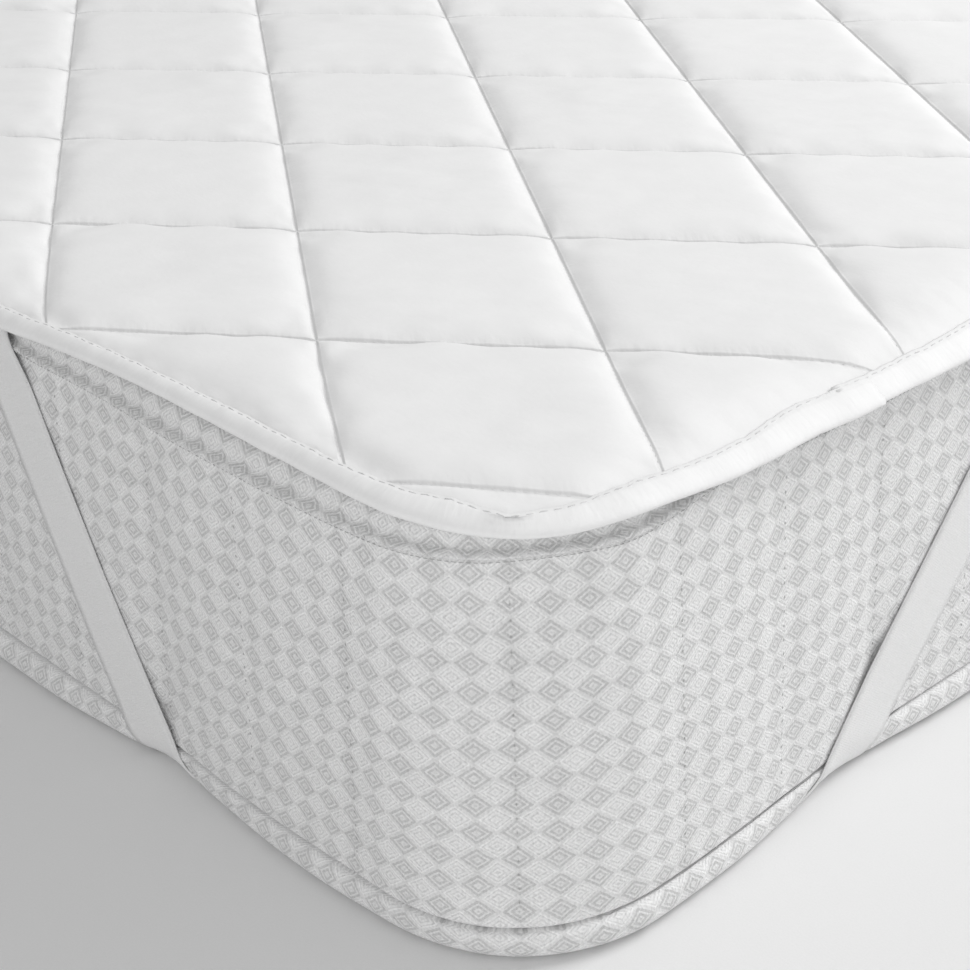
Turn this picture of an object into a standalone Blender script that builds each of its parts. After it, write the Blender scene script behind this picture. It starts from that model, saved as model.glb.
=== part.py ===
"""A quilted mattress topper held by corner straps, on a plain mattress that it fits.

Metres, +Z up. The origin is the middle of the mattress's underside, and the long side runs along +Y.
"""

import math

import bmesh
import bpy
from mathutils import Vector

# Mattress: a border between an upper and a lower panel that roll over its edges.
WIDTH = 1.000
LENGTH = 2.000
CORNER_RADIUS = 0.086
LOWER_SEAM = 0.018
UPPER_SEAM = 0.213
MATTRESS_TOP = 0.232
SEAM_GAP = 0.0003
SEAM_ROUND = 0.003
BASE_BULGE = 0.003
BASE_ROUND = 0.012
SHOULDER_BULGE = 0.002
SHOULDER_ROUND = 0.0185
SHOULDER_SEAM_ROUND = 0.0004
CORNER_STEPS = 8

# Pad: stitched on a lattice of diamonds, puffed between the stitch lines.
OVERHANG = 0.005
PAD_RADIUS = 0.095
PAD_GAP = 0.0004
STITCHED = 0.0045
CROWN = 0.0135
PUFF_POWER = 0.55
STITCH_CROSSING = Vector((-0.330, -0.642))
RISING_STITCH = (0.1445, math.radians(36.2))
FALLING_STITCH = (0.1518, math.radians(-36.0))
CELL_STATIONS = (0.0, 0.27, 0.73)
FLAT_EDGE = 0.015
PUFF_START = 0.060
EDGE_MERGE = 0.003
DROOP = 0.0045
DROOP_REACH = 0.018

# The rim of the pad, inside its binding: inset from the outline, and height above the underside.
RIM_TOP = ((0.0023, 0.0047), (0.0003, 0.0026))
RIM_UNDER = ((0.0023, 0.0003), (0.0100, 0.0002), (0.0180, 0.0))

# Binding: one folded strip, in the same inset and height as the rim.
BINDING_FOLD = (
    (0.0125, 0.0068),
    (0.0022, 0.0066),
    (-0.0009, 0.0054),
    (-0.0017, 0.0026),
    (-0.0009, -0.0002),
    (0.0022, -0.0016),
    (0.0100, -0.0016),
    (0.0100, -0.0004),
    (0.0023, -0.0004),
    (-0.0006, 0.0026),
    (0.0023, 0.0056),
    (0.0125, 0.0056),
)
BINDING_STEP = 0.060

# The outline's slow waves, which the rim and its binding share.
WAVE_MEAN = 0.0015
WAVE_SWING = 0.0020
WAVE_SHORT_SIDE = 0.230
WAVE_LONG_SIDE = 0.480
WAVE_REACH = 0.080

# Straps: flat elastic from the rim, down the border, under the corner and up the other side.
STRAP_WIDTH = 0.040
STRAP_THICKNESS = 0.0012
SHORT_SIDE_FOOT, SHORT_SIDE_LEAN = 0.272, math.radians(31.0)
LONG_SIDE_FOOT, LONG_SIDE_LEAN = 0.238, math.radians(42.0)
STRAP_SIDE = 0.0016
STRAP_FOOT = 0.0010
STRAP_TURN = 0.012
TURN_STEPS = 6
MIDDLE_STEPS = 6
# The way up from the seam of the base panel: (outward, height).
STRAP_RISE = (
    (0.0030, 0.0165),
    (STRAP_SIDE, 0.0260),
    (STRAP_SIDE, 0.1100),
    (STRAP_SIDE, 0.1980),
    (0.0034, 0.2110),
    (0.0039, 0.2175),
    (0.0034, 0.2230),
    (0.0010, 0.2262),
    (-0.0030, 0.2278),
)
GROOVE_MARGIN = 0.12
GROOVE_DEPTH = 0.0004
GROOVE_OUTWARD = 0.010
GROOVE_TOP = 0.030

WHITE_COTTON = (0.90, 0.90, 0.90, 1.0)
BIAS_COTTON = (0.92, 0.92, 0.91, 1.0)
ELASTIC = (0.86, 0.86, 0.86, 1.0)
TICKING = (0.70, 0.70, 0.70, 1.0)

MIN_PUFF = 1e-9


def clear_scene():
    for obj in list(bpy.data.objects):
        bpy.data.objects.remove(obj, do_unlink=True)


def new_collection(name):
    collection = bpy.data.collections.new(name)
    bpy.context.scene.collection.children.link(collection)
    return collection


def new_material(name, color, roughness):
    material = bpy.data.materials.new(name)
    material.use_nodes = True
    shader = material.node_tree.nodes["Principled BSDF"]
    shader.inputs["Base Color"].default_value = color
    shader.inputs["Roughness"].default_value = roughness
    shader.inputs["Metallic"].default_value = 0.0
    material.diffuse_color = color
    return material


def new_object(name, bm, collection, material=None):
    """The object of a finished bmesh, with its faces turned outwards."""
    bmesh.ops.recalc_face_normals(bm, faces=bm.faces)
    mesh = bpy.data.meshes.new(name)
    bm.to_mesh(mesh)
    bm.free()
    mesh.shade_smooth()
    mesh.set_sharp_from_angle(angle=math.radians(40))
    if material:
        mesh.materials.append(material)
    obj = bpy.data.objects.new(name, mesh)
    collection.objects.link(obj)
    return obj


# Mattress


def rounded_block(half_x, half_y, radius, low, high):
    """A box with round upright corners. low and high are (height, rounding, steps) of its edges."""
    bm = bmesh.new()
    bmesh.ops.create_cube(bm, size=1.0)
    for vert in bm.verts:
        vert.co.x *= 2 * half_x
        vert.co.y *= 2 * half_y
        vert.co.z = high[0] if vert.co.z > 0 else low[0]
    upright = [e for e in bm.edges if e.verts[0].co.z != e.verts[1].co.z]
    bmesh.ops.bevel(
        bm, geom=upright, offset=radius, segments=CORNER_STEPS, profile=0.5, affect="EDGES"
    )
    for level, rounding, steps in (low, high):
        rim = [e for e in bm.edges if all(abs(v.co.z - level) < 1e-6 for v in e.verts)]
        bmesh.ops.bevel(
            bm, geom=rim, offset=rounding, segments=steps, profile=0.5, affect="EDGES"
        )
    return bm


def mattress_panel(name, bulge, low, high, collection, material):
    bm = rounded_block(
        WIDTH / 2 + bulge, LENGTH / 2 + bulge, CORNER_RADIUS + bulge, low, high
    )
    return new_object(name, bm, collection, material)


# Outline of the pad: a rectangle with round corners, and points at a chosen inset from it.


def corner_centre(x, y):
    """The centre of the nearest corner's arc."""
    reach_x = WIDTH / 2 + OVERHANG - PAD_RADIUS
    reach_y = LENGTH / 2 + OVERHANG - PAD_RADIUS
    return Vector((math.copysign(reach_x, x), math.copysign(reach_y, y)))


def outward(x, y):
    """How far the nearest edge of the outline is from its arc centres, and the way out to it."""
    centre = corner_centre(x, y)
    over_x = (x - centre.x) * math.copysign(1, x)
    over_y = (y - centre.y) * math.copysign(1, y)
    if over_x > 0 and over_y > 0:
        away = Vector((x, y)) - centre
        return away.length, away.normalized()
    if over_x > over_y:
        return over_x, Vector((math.copysign(1, x), 0))
    return over_y, Vector((0, math.copysign(1, y)))


def inset(x, y):
    return PAD_RADIUS - outward(x, y)[0]


def outline(depth, step):
    """The outline at this inset: arcs of CORNER_STEPS, and points about a step apart on the sides."""
    points = []
    for turn, (sign_x, sign_y) in enumerate(((1, 1), (-1, 1), (-1, -1), (1, -1))):
        centre = corner_centre(sign_x, sign_y)
        for k in range(CORNER_STEPS + 1):
            angle = (turn + k / CORNER_STEPS) * math.pi / 2
            radius = PAD_RADIUS - depth
            points.append(centre + radius * Vector((math.cos(angle), math.sin(angle))))
    closed = []
    for here, there in zip(points, points[1:] + points[:1]):
        parts = max(1, round((there - here).length / step))
        closed += [here.lerp(there, k / parts) for k in range(parts)]
    return closed


def moved_across(x, y, start, depth):
    """The point straight out or in from this one, from one inset to another."""
    centre = corner_centre(x, y)
    if abs(x) > abs(centre.x) and abs(y) > abs(centre.y):
        scale = (PAD_RADIUS - depth) / (PAD_RADIUS - start)
        return centre + (Vector((x, y)) - centre) * scale
    return Vector((x, y)) + outward(x, y)[1] * (start - depth)


def underside(depth):
    """Height of the pad's underside, which turns down a little over the mattress's shoulder."""
    turned = max(0.0, 1 - max(depth, 0.0) / DROOP_REACH)
    return MATTRESS_TOP + PAD_GAP - DROOP * turned**2


def stations(reach):
    """Where the binding's sections stand along a side."""
    parts = max(1, round(2 * reach / BINDING_STEP))
    return [reach * (2 * k / parts - 1) for k in range(parts + 1)]


def wave(place, reach, wavelength):
    """The wave's height along a side, straight between the binding's stations."""
    stops = stations(reach)
    spacing = stops[1] - stops[0]
    at = (min(max(place, -reach), reach) + reach) / spacing
    before = min(math.floor(at), len(stops) - 2)
    heights = [-math.cos(2 * math.pi * stop / wavelength) for stop in stops[before : before + 2]]
    return heights[0] + (heights[1] - heights[0]) * (at - before)


def waved(x, y, z):
    """The point moved out by the slow waves of the outline."""
    depth = inset(x, y)
    hold = max(0.0, 1 - max(depth, 0.0) / WAVE_REACH)
    way = outward(x, y)[1]
    centre = corner_centre(x, y)
    height = way.x**2 * wave(y, abs(centre.y), WAVE_LONG_SIDE)
    height += way.y**2 * wave(x, abs(centre.x), WAVE_SHORT_SIDE)
    shift = (WAVE_MEAN + WAVE_SWING * height) * hold**2
    return Vector((x + way.x * shift, y + way.y * shift, z))


# Pad


def stitch_axes():
    rising, falling = (
        spacing * Vector((math.cos(angle), math.sin(angle)))
        for spacing, angle in (RISING_STITCH, FALLING_STITCH)
    )
    return rising, falling


def lattice_place(x, y):
    """The point in diamonds along the two stitch directions."""
    rising, falling = stitch_axes()
    away = Vector((x, y)) - STITCH_CROSSING
    area = rising.x * falling.y - rising.y * falling.x
    along_rising = (away.x * falling.y - away.y * falling.x) / area
    along_falling = (rising.x * away.y - rising.y * away.x) / area
    return along_rising, along_falling


def thickness(x, y):
    """Stitched down along the lattice, and puffed between its lines."""
    puff = 1.0
    for place in lattice_place(x, y):
        puff *= abs(math.sin(math.pi * place))
    rise = min(1.0, max(0.0, (inset(x, y) - FLAT_EDGE) / (PUFF_START - FLAT_EDGE)))
    rise = rise * rise * (3 - 2 * rise)
    return STITCHED + CROWN * rise * max(puff, MIN_PUFF) ** PUFF_POWER


def stitched_grid():
    """A flat grid whose lines include every stitch line, cut to the pad's flat edge."""
    rising, falling = stitch_axes()
    reach = math.hypot(WIDTH, LENGTH)
    cells = math.ceil(reach / min(rising.length, falling.length))
    across = len(CELL_STATIONS)
    segments = 2 * cells * across
    bm = bmesh.new()
    bmesh.ops.create_grid(bm, x_segments=segments, y_segments=segments, size=cells)
    for vert in bm.verts:
        at = []
        for value in vert.co.xy:
            step = round((value + cells) * across)
            at.append(step // across - cells + CELL_STATIONS[step % across])
        place = STITCH_CROSSING + at[0] * rising + at[1] * falling
        vert.co = (place.x, place.y, 0)
    edge = outline(FLAT_EDGE, LENGTH)
    for here, there in zip(edge, edge[1:] + edge[:1]):
        side = there - here
        bmesh.ops.bisect_plane(
            bm,
            geom=bm.verts[:] + bm.edges[:] + bm.faces[:],
            plane_co=(here.x, here.y, 0),
            plane_no=(side.y, -side.x, 0),
            clear_outer=True,
        )
    return bm


def edge_of(bm):
    return [e for e in bm.edges if e.is_boundary]


def tidy_edge(bm):
    """Joins points that the cut left close together, and adds one at each of the binding's stations."""
    rim = {v for e in edge_of(bm) for v in e.verts}
    bmesh.ops.remove_doubles(bm, verts=list(rim), dist=EDGE_MERGE)
    for axis in (0, 1):
        reach = abs(corner_centre(1, 1)[axis])
        for stop in stations(reach):
            for edge in edge_of(bm):
                low, high = sorted(edge.verts, key=lambda v: v.co[axis])
                if low.co[axis] + EDGE_MERGE < stop < high.co[axis] - EDGE_MERGE:
                    share = (stop - low.co[axis]) / (high.co[axis] - low.co[axis])
                    bmesh.utils.edge_split(edge, low, share)


def make_pad(collection, material):
    bm = stitched_grid()
    tidy_edge(bm)
    for vert in bm.verts:
        x, y, _ = vert.co
        depth = inset(x, y)
        vert.co.z = underside(depth) + thickness(x, y)
    ring = edge_of(bm)
    start = FLAT_EDGE
    for depth, height in RIM_TOP + RIM_UNDER:
        grown = bmesh.ops.extrude_edge_only(bm, edges=ring)["geom"]
        for vert in (g for g in grown if isinstance(g, bmesh.types.BMVert)):
            place = moved_across(vert.co.x, vert.co.y, start, depth)
            vert.co = (place.x, place.y, underside(depth) + height)
        start = depth
        ring = [g for g in grown if isinstance(g, bmesh.types.BMEdge) and g.is_boundary]
    for vert in bm.verts:
        vert.co = waved(*vert.co)
    bmesh.ops.edgeloop_fill(bm, edges=ring)
    bmesh.ops.triangulate(bm, faces=[f for f in bm.faces if len(f.verts) > 4])
    return new_object("topper_pad", bm, collection, material)


# Strips: a closed section carried along a path.


def loft(rings, closed):
    """Joins rings of equal length with quads, and caps the ends of an open one."""
    bm = bmesh.new()
    loops = [[bm.verts.new(point) for point in ring] for ring in rings]
    pairs = list(zip(loops, loops[1:] + loops[:1])) if closed else list(zip(loops, loops[1:]))
    for here, there in pairs:
        for k in range(len(here)):
            after = (k + 1) % len(here)
            bm.faces.new((here[k], here[after], there[after], there[k]))
    if not closed:
        bm.faces.new(loops[0])
        bm.faces.new(loops[-1])
    return bm


def make_binding(collection, material):
    rings = []
    for point in outline(0.0, BINDING_STEP):
        ring = []
        for depth, height in BINDING_FOLD:
            place = moved_across(point.x, point.y, 0.0, depth)
            ring.append(waved(place.x, place.y, underside(depth) + height))
        rings.append(ring)
    return new_object("edge_binding", loft(rings, closed=True), collection, material)


# Straps


def strap_section():
    """(outward, height) up one side, from where the strap leaves the underside."""
    centre = Vector((BASE_BULGE - STRAP_TURN, STRAP_FOOT + STRAP_TURN))
    turn = []
    for k in range(TURN_STEPS + 1):
        angle = (k / TURN_STEPS - 1) * math.pi / 2
        turn.append(centre + STRAP_TURN * Vector((math.cos(angle), math.sin(angle))))
    return turn + [Vector(point) for point in STRAP_RISE]


def section_normals(section):
    """Square to the section's run, pointing out of the mattress."""
    normals = []
    for k in range(len(section)):
        run = section[min(k + 1, len(section) - 1)] - section[max(k - 1, 0)]
        normals.append(Vector((run.y, -run.x)).normalized())
    return normals


def strap_side(place, foot, lean):
    """(middle, way to its far edge, way out) up one side: the strap leans away from the corner."""
    section = strap_section()
    lengths = [0.0]
    for here, there in zip(section, section[1:]):
        lengths.append(lengths[-1] + (there - here).length)
    stops = []
    for point, normal, length in zip(section, section_normals(section), lengths):
        along = foot + math.tan(lean) * (length - lengths[TURN_STEPS])
        half = STRAP_WIDTH / 2 / math.cos(lean)
        middle = place(along, point.x, point.y)
        across = place(along + half, point.x, point.y) - middle
        out = place(along, point.x + normal.x, point.y + normal.y) - middle
        stops.append((middle, across, out))
    return stops


def strap_stops(sign_x, sign_y):
    """The strap's stops from the rim on the short side, under the corner, to the long side's rim."""

    def on_short_side(along, out, height):
        return Vector((sign_x * (WIDTH / 2 - along), sign_y * (LENGTH / 2 + out), height))

    def on_long_side(along, out, height):
        return Vector((sign_x * (WIDTH / 2 + out), sign_y * (LENGTH / 2 - along), height))

    short_side = strap_side(on_short_side, SHORT_SIDE_FOOT, SHORT_SIDE_LEAN)
    long_side = strap_side(on_long_side, LONG_SIDE_FOOT, LONG_SIDE_LEAN)
    start, end = short_side[0][0], long_side[0][0]
    down = Vector((0, 0, -1))
    run = (end - start).normalized()
    across = down.cross(run) * STRAP_WIDTH / 2
    if across.dot(short_side[0][1]) < 0:
        across = -across
    middle = [
        (start.lerp(end, k / MIDDLE_STEPS), across, down) for k in range(1, MIDDLE_STEPS)
    ]
    return list(reversed(short_side)) + middle + long_side


def strap_rings(stops, wider, inner, outer):
    """A flat section at each stop, from inner to outer along its normal."""
    return [
        [
            middle - across * wider + out * inner,
            middle + across * wider + out * inner,
            middle + across * wider + out * outer,
            middle - across * wider + out * outer,
        ]
        for middle, across, out in stops
    ]


def make_strap(name, sign_x, sign_y, collection, material):
    stops = strap_stops(sign_x, sign_y)
    rings = strap_rings(stops, 1.0, -STRAP_THICKNESS / 2, STRAP_THICKNESS / 2)
    return new_object(name, loft(rings, closed=False), collection, material)


def cut_groove(panel, name, sign_x, sign_y, collection):
    """The shallow dent that a strap presses into the base panel."""
    low_stops = [stop for stop in strap_stops(sign_x, sign_y) if stop[0].z < GROOVE_TOP]
    inner = -STRAP_THICKNESS / 2 - GROOVE_DEPTH
    rings = strap_rings(low_stops, 1 + GROOVE_MARGIN, inner, GROOVE_OUTWARD)
    cutter = new_object(name, loft(rings, closed=False), collection)
    cutter.hide_render = True
    cutter.display_type = "WIRE"
    cut = panel.modifiers.new(name, "BOOLEAN")
    cut.operation = "DIFFERENCE"
    cut.solver = "MANIFOLD"
    cut.object = cutter


def main():
    clear_scene()
    topper = new_collection("mattress_topper")
    helpers = new_collection("groove_cutters")
    cotton = new_material("white_cotton", WHITE_COTTON, 0.85)
    bias = new_material("bias_cotton", BIAS_COTTON, 0.80)
    elastic = new_material("woven_elastic", ELASTIC, 0.75)
    ticking = new_material("ticking", TICKING, 0.85)

    base = mattress_panel(
        "mattress_base_panel",
        BASE_BULGE,
        (0.0, BASE_ROUND, 4),
        (LOWER_SEAM, SEAM_ROUND, 2),
        topper,
        ticking,
    )
    mattress_panel(
        "mattress_border",
        0.0,
        (LOWER_SEAM + SEAM_GAP, SEAM_ROUND, 2),
        (UPPER_SEAM - SEAM_GAP, SEAM_ROUND, 2),
        topper,
        ticking,
    )
    mattress_panel(
        "mattress_top_panel",
        SHOULDER_BULGE,
        (UPPER_SEAM, SHOULDER_SEAM_ROUND, 1),
        (MATTRESS_TOP, SHOULDER_ROUND, 5),
        topper,
        ticking,
    )
    make_pad(topper, cotton)
    make_binding(topper, bias)
    for sign_x, side in ((1, "right"), (-1, "left")):
        for sign_y, end in ((-1, "foot"), (1, "head")):
            make_strap(f"corner_strap_{end}_{side}", sign_x, sign_y, topper, elastic)
            cut_groove(base, f"strap_groove_{end}_{side}", sign_x, sign_y, helpers)


main()
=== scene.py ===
# %% [markdown]
# # A quilted mattress topper on its mattress
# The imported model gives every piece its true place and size, but its solids are plain. This script
# loads it as a fixed frame and puts a finished piece over each solid: a puffed and quilted pad, a
# folded binding, four woven elastic straps, and a mattress in woven ticking. Lengths are in
# metres, +Z points up, and the long side of the mattress runs along +Y.

# %% Load the frame and note its size
import math
import random

import bpy
import numpy as np
from mathutils import Matrix, Vector
from mathutils.bvhtree import BVHTree


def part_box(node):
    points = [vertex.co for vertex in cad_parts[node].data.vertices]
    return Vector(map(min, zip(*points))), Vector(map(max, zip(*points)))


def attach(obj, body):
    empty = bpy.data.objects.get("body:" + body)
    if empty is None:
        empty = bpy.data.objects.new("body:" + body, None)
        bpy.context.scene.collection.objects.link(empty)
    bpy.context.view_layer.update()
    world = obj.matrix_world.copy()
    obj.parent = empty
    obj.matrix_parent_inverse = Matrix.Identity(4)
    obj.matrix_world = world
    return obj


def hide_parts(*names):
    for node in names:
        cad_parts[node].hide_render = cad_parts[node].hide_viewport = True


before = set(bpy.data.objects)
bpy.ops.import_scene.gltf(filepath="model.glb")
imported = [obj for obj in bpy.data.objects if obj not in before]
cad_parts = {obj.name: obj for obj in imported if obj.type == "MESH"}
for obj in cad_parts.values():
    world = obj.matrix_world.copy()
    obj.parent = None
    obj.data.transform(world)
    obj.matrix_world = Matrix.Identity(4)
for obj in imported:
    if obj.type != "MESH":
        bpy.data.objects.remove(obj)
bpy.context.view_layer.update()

# %% [markdown]
# ## Sizes
# Most sizes are read from the solids they replace. The few that a box can't tell, such as the
# radius of a corner, are named here once and used by every piece that turns that corner.

# %% Sizes of the mattress and the pad
HALF_X, HALF_Y, UPPER_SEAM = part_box("mattress_border")[1]
LOWER_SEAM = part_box("mattress_border")[0].z
MATTRESS_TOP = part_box("mattress_top_panel")[1].z
BASE_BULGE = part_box("mattress_base_panel")[1].x - HALF_X
CORNER_RADIUS = 0.086
PAD_OVERHANG = 0.005
PAD_RADIUS = 0.095
RIM_DROP = 0.0045
PAD_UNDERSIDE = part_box("topper_pad")[0].z + RIM_DROP
print("mattress", round(2 * HALF_X, 3), "x", round(2 * HALF_Y, 3), "x", round(MATTRESS_TOP, 3))

# %% [markdown]
# ## Walking round the outline
# Border, shoulder, base and binding all run round the same rounded rectangle. A bezier curve with
# a bevel could carry them, but it would space its points unevenly at the turns. So a distance
# along the outline is turned once into a side, a share of that side and a share of the turn after
# it. The same walk then gives the matching point on any larger or smaller outline, and strips of
# different reach stay in step at the corners.


# %% Walk and ring helpers
def walk(distance, half_x=HALF_X, half_y=HALF_Y, radius=CORNER_RADIUS):
    """Side, share of its straight and share of its turn, from the middle of the +X side."""
    straight = 2 * (np.array([half_y, half_x, half_y, half_x]) - radius)
    turn = math.pi / 2 * radius
    ends = np.cumsum(straight + turn)
    along = np.mod(distance + straight[0] / 2, ends[-1])
    side = np.minimum(np.searchsorted(ends, along, side="right"), 3)
    along = along - np.concatenate([[0.0], ends])[side]
    share = np.minimum(along / straight[side], 1.0)
    turned = np.clip((along - straight[side]) / turn, 0.0, 1.0)
    return side, share, turned


def perimeter(half_x=HALF_X, half_y=HALF_Y, radius=CORNER_RADIUS):
    return 4 * (half_x + half_y - 2 * radius) + 2 * math.pi * radius


def ring(walked, half_x, half_y, radius):
    """Points of a rounded rectangle at these walked places, and the way out of it at each."""
    side, share, turned = walked
    sign_x = np.where((side == 0) | (side == 3), 1.0, -1.0)
    sign_y = np.where(side < 2, 1.0, -1.0)
    straight = 2 * (np.where(side % 2 == 0, half_y, half_x) - radius)
    start = side * math.pi / 2
    angle = start + turned * math.pi / 2
    out = np.stack([np.cos(angle), np.sin(angle)], axis=-1)
    onward = np.stack([-np.sin(start), np.cos(start)], axis=-1)
    centre = np.stack([sign_x * (half_x - radius), sign_y * (half_y - radius)], axis=-1)
    back = (share - 1.0) * straight
    radius = np.broadcast_to(radius, back.shape)
    return centre + onward * back[..., None] + out * radius[..., None], out


MATTRESS_ROUND = perimeter()
print("the border is", round(MATTRESS_ROUND, 3), "m round")

# %% [markdown]
# ## Working with meshes
# Operators act on whatever is selected, and loading the frame leaves its nodes selected, so
# everything is deselected before a piece is begun. A loop over each vertex would take minutes
# here, so points are read and moved as whole arrays.


# %% Mesh helpers
def start_fresh():
    bpy.ops.object.select_all(action="DESELECT")


def only(obj):
    """Selects this object alone and makes it the active one."""
    start_fresh()
    obj.select_set(True)
    bpy.context.view_layer.objects.active = obj


def points_of(obj):
    flat = np.empty(len(obj.data.vertices) * 3)
    obj.data.vertices.foreach_get("co", flat)
    return flat.reshape(-1, 3)


def move_points(obj, points):
    obj.data.vertices.foreach_set("co", np.ascontiguousarray(points, float).ravel())
    obj.data.update()


def select_points(obj, chosen):
    """Selects these vertices, in edit mode. chosen is an array of true and false."""
    bpy.ops.object.mode_set(mode="EDIT")
    bpy.ops.mesh.select_mode(type="VERT")
    bpy.ops.mesh.select_all(action="DESELECT")
    bpy.ops.object.mode_set(mode="OBJECT")
    obj.data.vertices.foreach_set("select", chosen)
    bpy.ops.object.mode_set(mode="EDIT")


def stretch_map(obj, width, height):
    """Scales the UV map from 0..1 to metres, so that a weave keeps its real size."""
    layer = obj.data.uv_layers.active.data
    flat = np.empty(len(layer) * 2)
    layer.foreach_get("uv", flat)
    scaled = flat.reshape(-1, 2) * [width, height]
    layer.foreach_set("uv", scaled.ravel())


def finish_mesh(obj, closed=True):
    """Smooth shading, and faces turned outwards."""
    only(obj)
    bpy.ops.object.mode_set(mode="EDIT")
    bpy.ops.mesh.select_all(action="SELECT")
    if closed:
        bpy.ops.mesh.normals_make_consistent(inside=False)
    bpy.ops.object.mode_set(mode="OBJECT")
    bpy.ops.object.shade_smooth()
    triangles = sum(len(p.vertices) - 2 for p in obj.data.polygons)
    print(f"{obj.name}: {len(obj.data.vertices)} points, {triangles} triangles")


def apply_modifier(obj, name):
    only(obj)
    bpy.ops.object.modifier_apply(modifier=name)


# %% [markdown]
# ## Irregularity
# Cloth is never quite even. A sum of a few sines with mixed wavelengths is smooth, repeats only
# after the whole outline, and is the same on every run.


# %% Smooth irregular waves
def uneven(place, lap, waves, seed):
    """Between about -1 and 1, smooth, and closed after one lap. waves are whole turns per lap."""
    draw = random.Random(seed)
    total = np.zeros(np.shape(place))
    for turns in waves:
        count = turns + draw.randint(-turns // 7, turns // 7)
        total += draw.uniform(0.5, 1.0) * np.sin(
            2 * math.pi * (count * np.asarray(place) / lap + draw.random())
        )
    return total / math.sqrt(len(waves))


# %% [markdown]
# ## Materials
# Every cloth gets a bump of its own weave as well as its colour. The ticking is woven with nested
# diamonds. An image could show them, but it would blur up close, so they are a formula instead: the
# distances to the nearest row and the nearest column of diamonds, measured with ping-pong waves
# on the UV map and added up. That sum is 0 in the middle of a dark diamond and 1 in the middle of
# a light one, so a colour ramp draws all the rings at once.


# %% Node helpers
def grey(value):
    return (value, value, value, 1.0)


class Nodes:
    """Adds nodes to a material and wires them by name."""

    def __init__(self, name):
        self.material = bpy.data.materials.new(name)
        self.material.use_nodes = True
        self.tree = self.material.node_tree
        self.shader = self.tree.nodes["Principled BSDF"]

    def add(self, kind, **settings):
        node = self.tree.nodes.new(kind)
        for key, value in settings.items():
            if key in node.inputs:
                self.feed(node.inputs[key], value)
            else:
                setattr(node, key, value)
        return node

    def feed(self, socket, value):
        if isinstance(value, bpy.types.NodeSocket):
            self.tree.links.new(value, socket)
        else:
            socket.default_value = value

    def maths(self, operation, *values):
        node = self.tree.nodes.new("ShaderNodeMath")
        node.operation = operation
        for socket, value in zip(node.inputs, values):
            self.feed(socket, value)
        return node.outputs[0]

    def mapped(self, source, scale, start=(0.0, 0.0, 0.0)):
        """Object or UV coordinates, scaled and then moved."""
        texture = self.add("ShaderNodeTexCoord")
        mapping = self.add("ShaderNodeMapping")
        self.feed(mapping.inputs["Vector"], texture.outputs[source])
        mapping.inputs["Scale"].default_value = scale
        mapping.inputs["Location"].default_value = start
        return mapping.outputs[0]

    def falloff(self, value, reach):
        """1 where the value is 0, easing to 0 at this reach."""
        node = self.add("ShaderNodeMapRange", interpolation_type="SMOOTHSTEP", Value=value)
        self.feed(node.inputs["From Max"], reach)
        self.feed(node.inputs["To Min"], 1.0)
        self.feed(node.inputs["To Max"], 0.0)
        return node.outputs[0]

    def noise(self, vector, scale, detail=2.0):
        node = self.add("ShaderNodeTexNoise", Vector=vector, Scale=scale, Detail=detail)
        return node.outputs["Fac"]

    def ramp(self, fac, stops):
        ramp_node = self.add("ShaderNodeValToRGB", Fac=fac)
        ramp = ramp_node.color_ramp
        ramp.elements[0].position = stops[0][0]
        ramp.elements[1].position = stops[-1][0]
        for place, _ in stops[1:-1]:
            ramp.elements.new(place)
        for element, (_, tone) in zip(ramp.elements, stops):
            element.color = grey(tone)
        return ramp_node.outputs["Color"]

    def mix(self, kind, factor, first, second):
        node = self.add("ShaderNodeMix", data_type="RGBA", blend_type=kind)
        colours = [s for s in node.inputs if s.type == "RGBA"]
        self.feed(node.inputs[0], factor)
        self.feed(colours[0], first)
        self.feed(colours[1], second)
        return [s for s in node.outputs if s.type == "RGBA"][0]

    def bump(self, height, depth, strength=1.0, below=None):
        node = self.add("ShaderNodeBump", Height=height, Distance=depth, Strength=strength)
        if below:
            self.feed(node.inputs["Normal"], below)
        return node.outputs[0]

    def surface(self, colour, roughness, normal, sheen=0.0):
        self.feed(self.shader.inputs["Base Color"], colour)
        self.feed(self.shader.inputs["Normal"], normal)
        self.shader.inputs["Roughness"].default_value = roughness
        self.shader.inputs["Specular IOR Level"].default_value = 0.25
        self.shader.inputs["Sheen Weight"].default_value = sheen
        self.shader.inputs["Sheen Roughness"].default_value = 0.5
        return self.material


# %% The ticking's repeat, and how the flat cloth lies round the mattress
REPEAT_WIDTH_WISH = 0.01705
# The cloth is pulled tight round a corner, so each turn takes this much less of it, and its rows
# of diamonds dip a little there.
CORNER_STRETCH = 0.0085
CORNER_DROP = 0.0037
CLOTH_ROUND = MATTRESS_ROUND - 4 * CORNER_STRETCH
REPEAT_WIDTH = CLOTH_ROUND / round(CLOTH_ROUND / REPEAT_WIDTH_WISH)
REPEAT_HEIGHT = 0.0148
PATTERN_PHASE = (0.23, 0.45, 0.0)
# Rings from the middle of a dark diamond (0) past the lattice (0.5) to a light one's middle (1).
RING_GREYS = (
    (0.000, 0.73),
    (0.035, 0.73),
    (0.060, 0.82),
    (0.120, 0.82),
    (0.145, 0.65),
    (0.220, 0.65),
    (0.245, 0.84),
    (0.305, 0.84),
    (0.330, 0.64),
    (0.410, 0.65),
    (0.430, 0.81),
    (0.470, 0.81),
    (0.500, 0.78),
    (0.530, 0.80),
    (0.560, 0.82),
    (0.580, 0.94),
    (0.625, 0.94),
    (0.645, 0.77),
    (0.680, 0.79),
    (0.700, 0.89),
    (0.775, 0.89),
    (0.795, 0.77),
    (0.840, 0.77),
    (0.860, 0.91),
    (0.915, 0.91),
    (0.940, 0.80),
    (1.000, 0.80),
)


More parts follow.
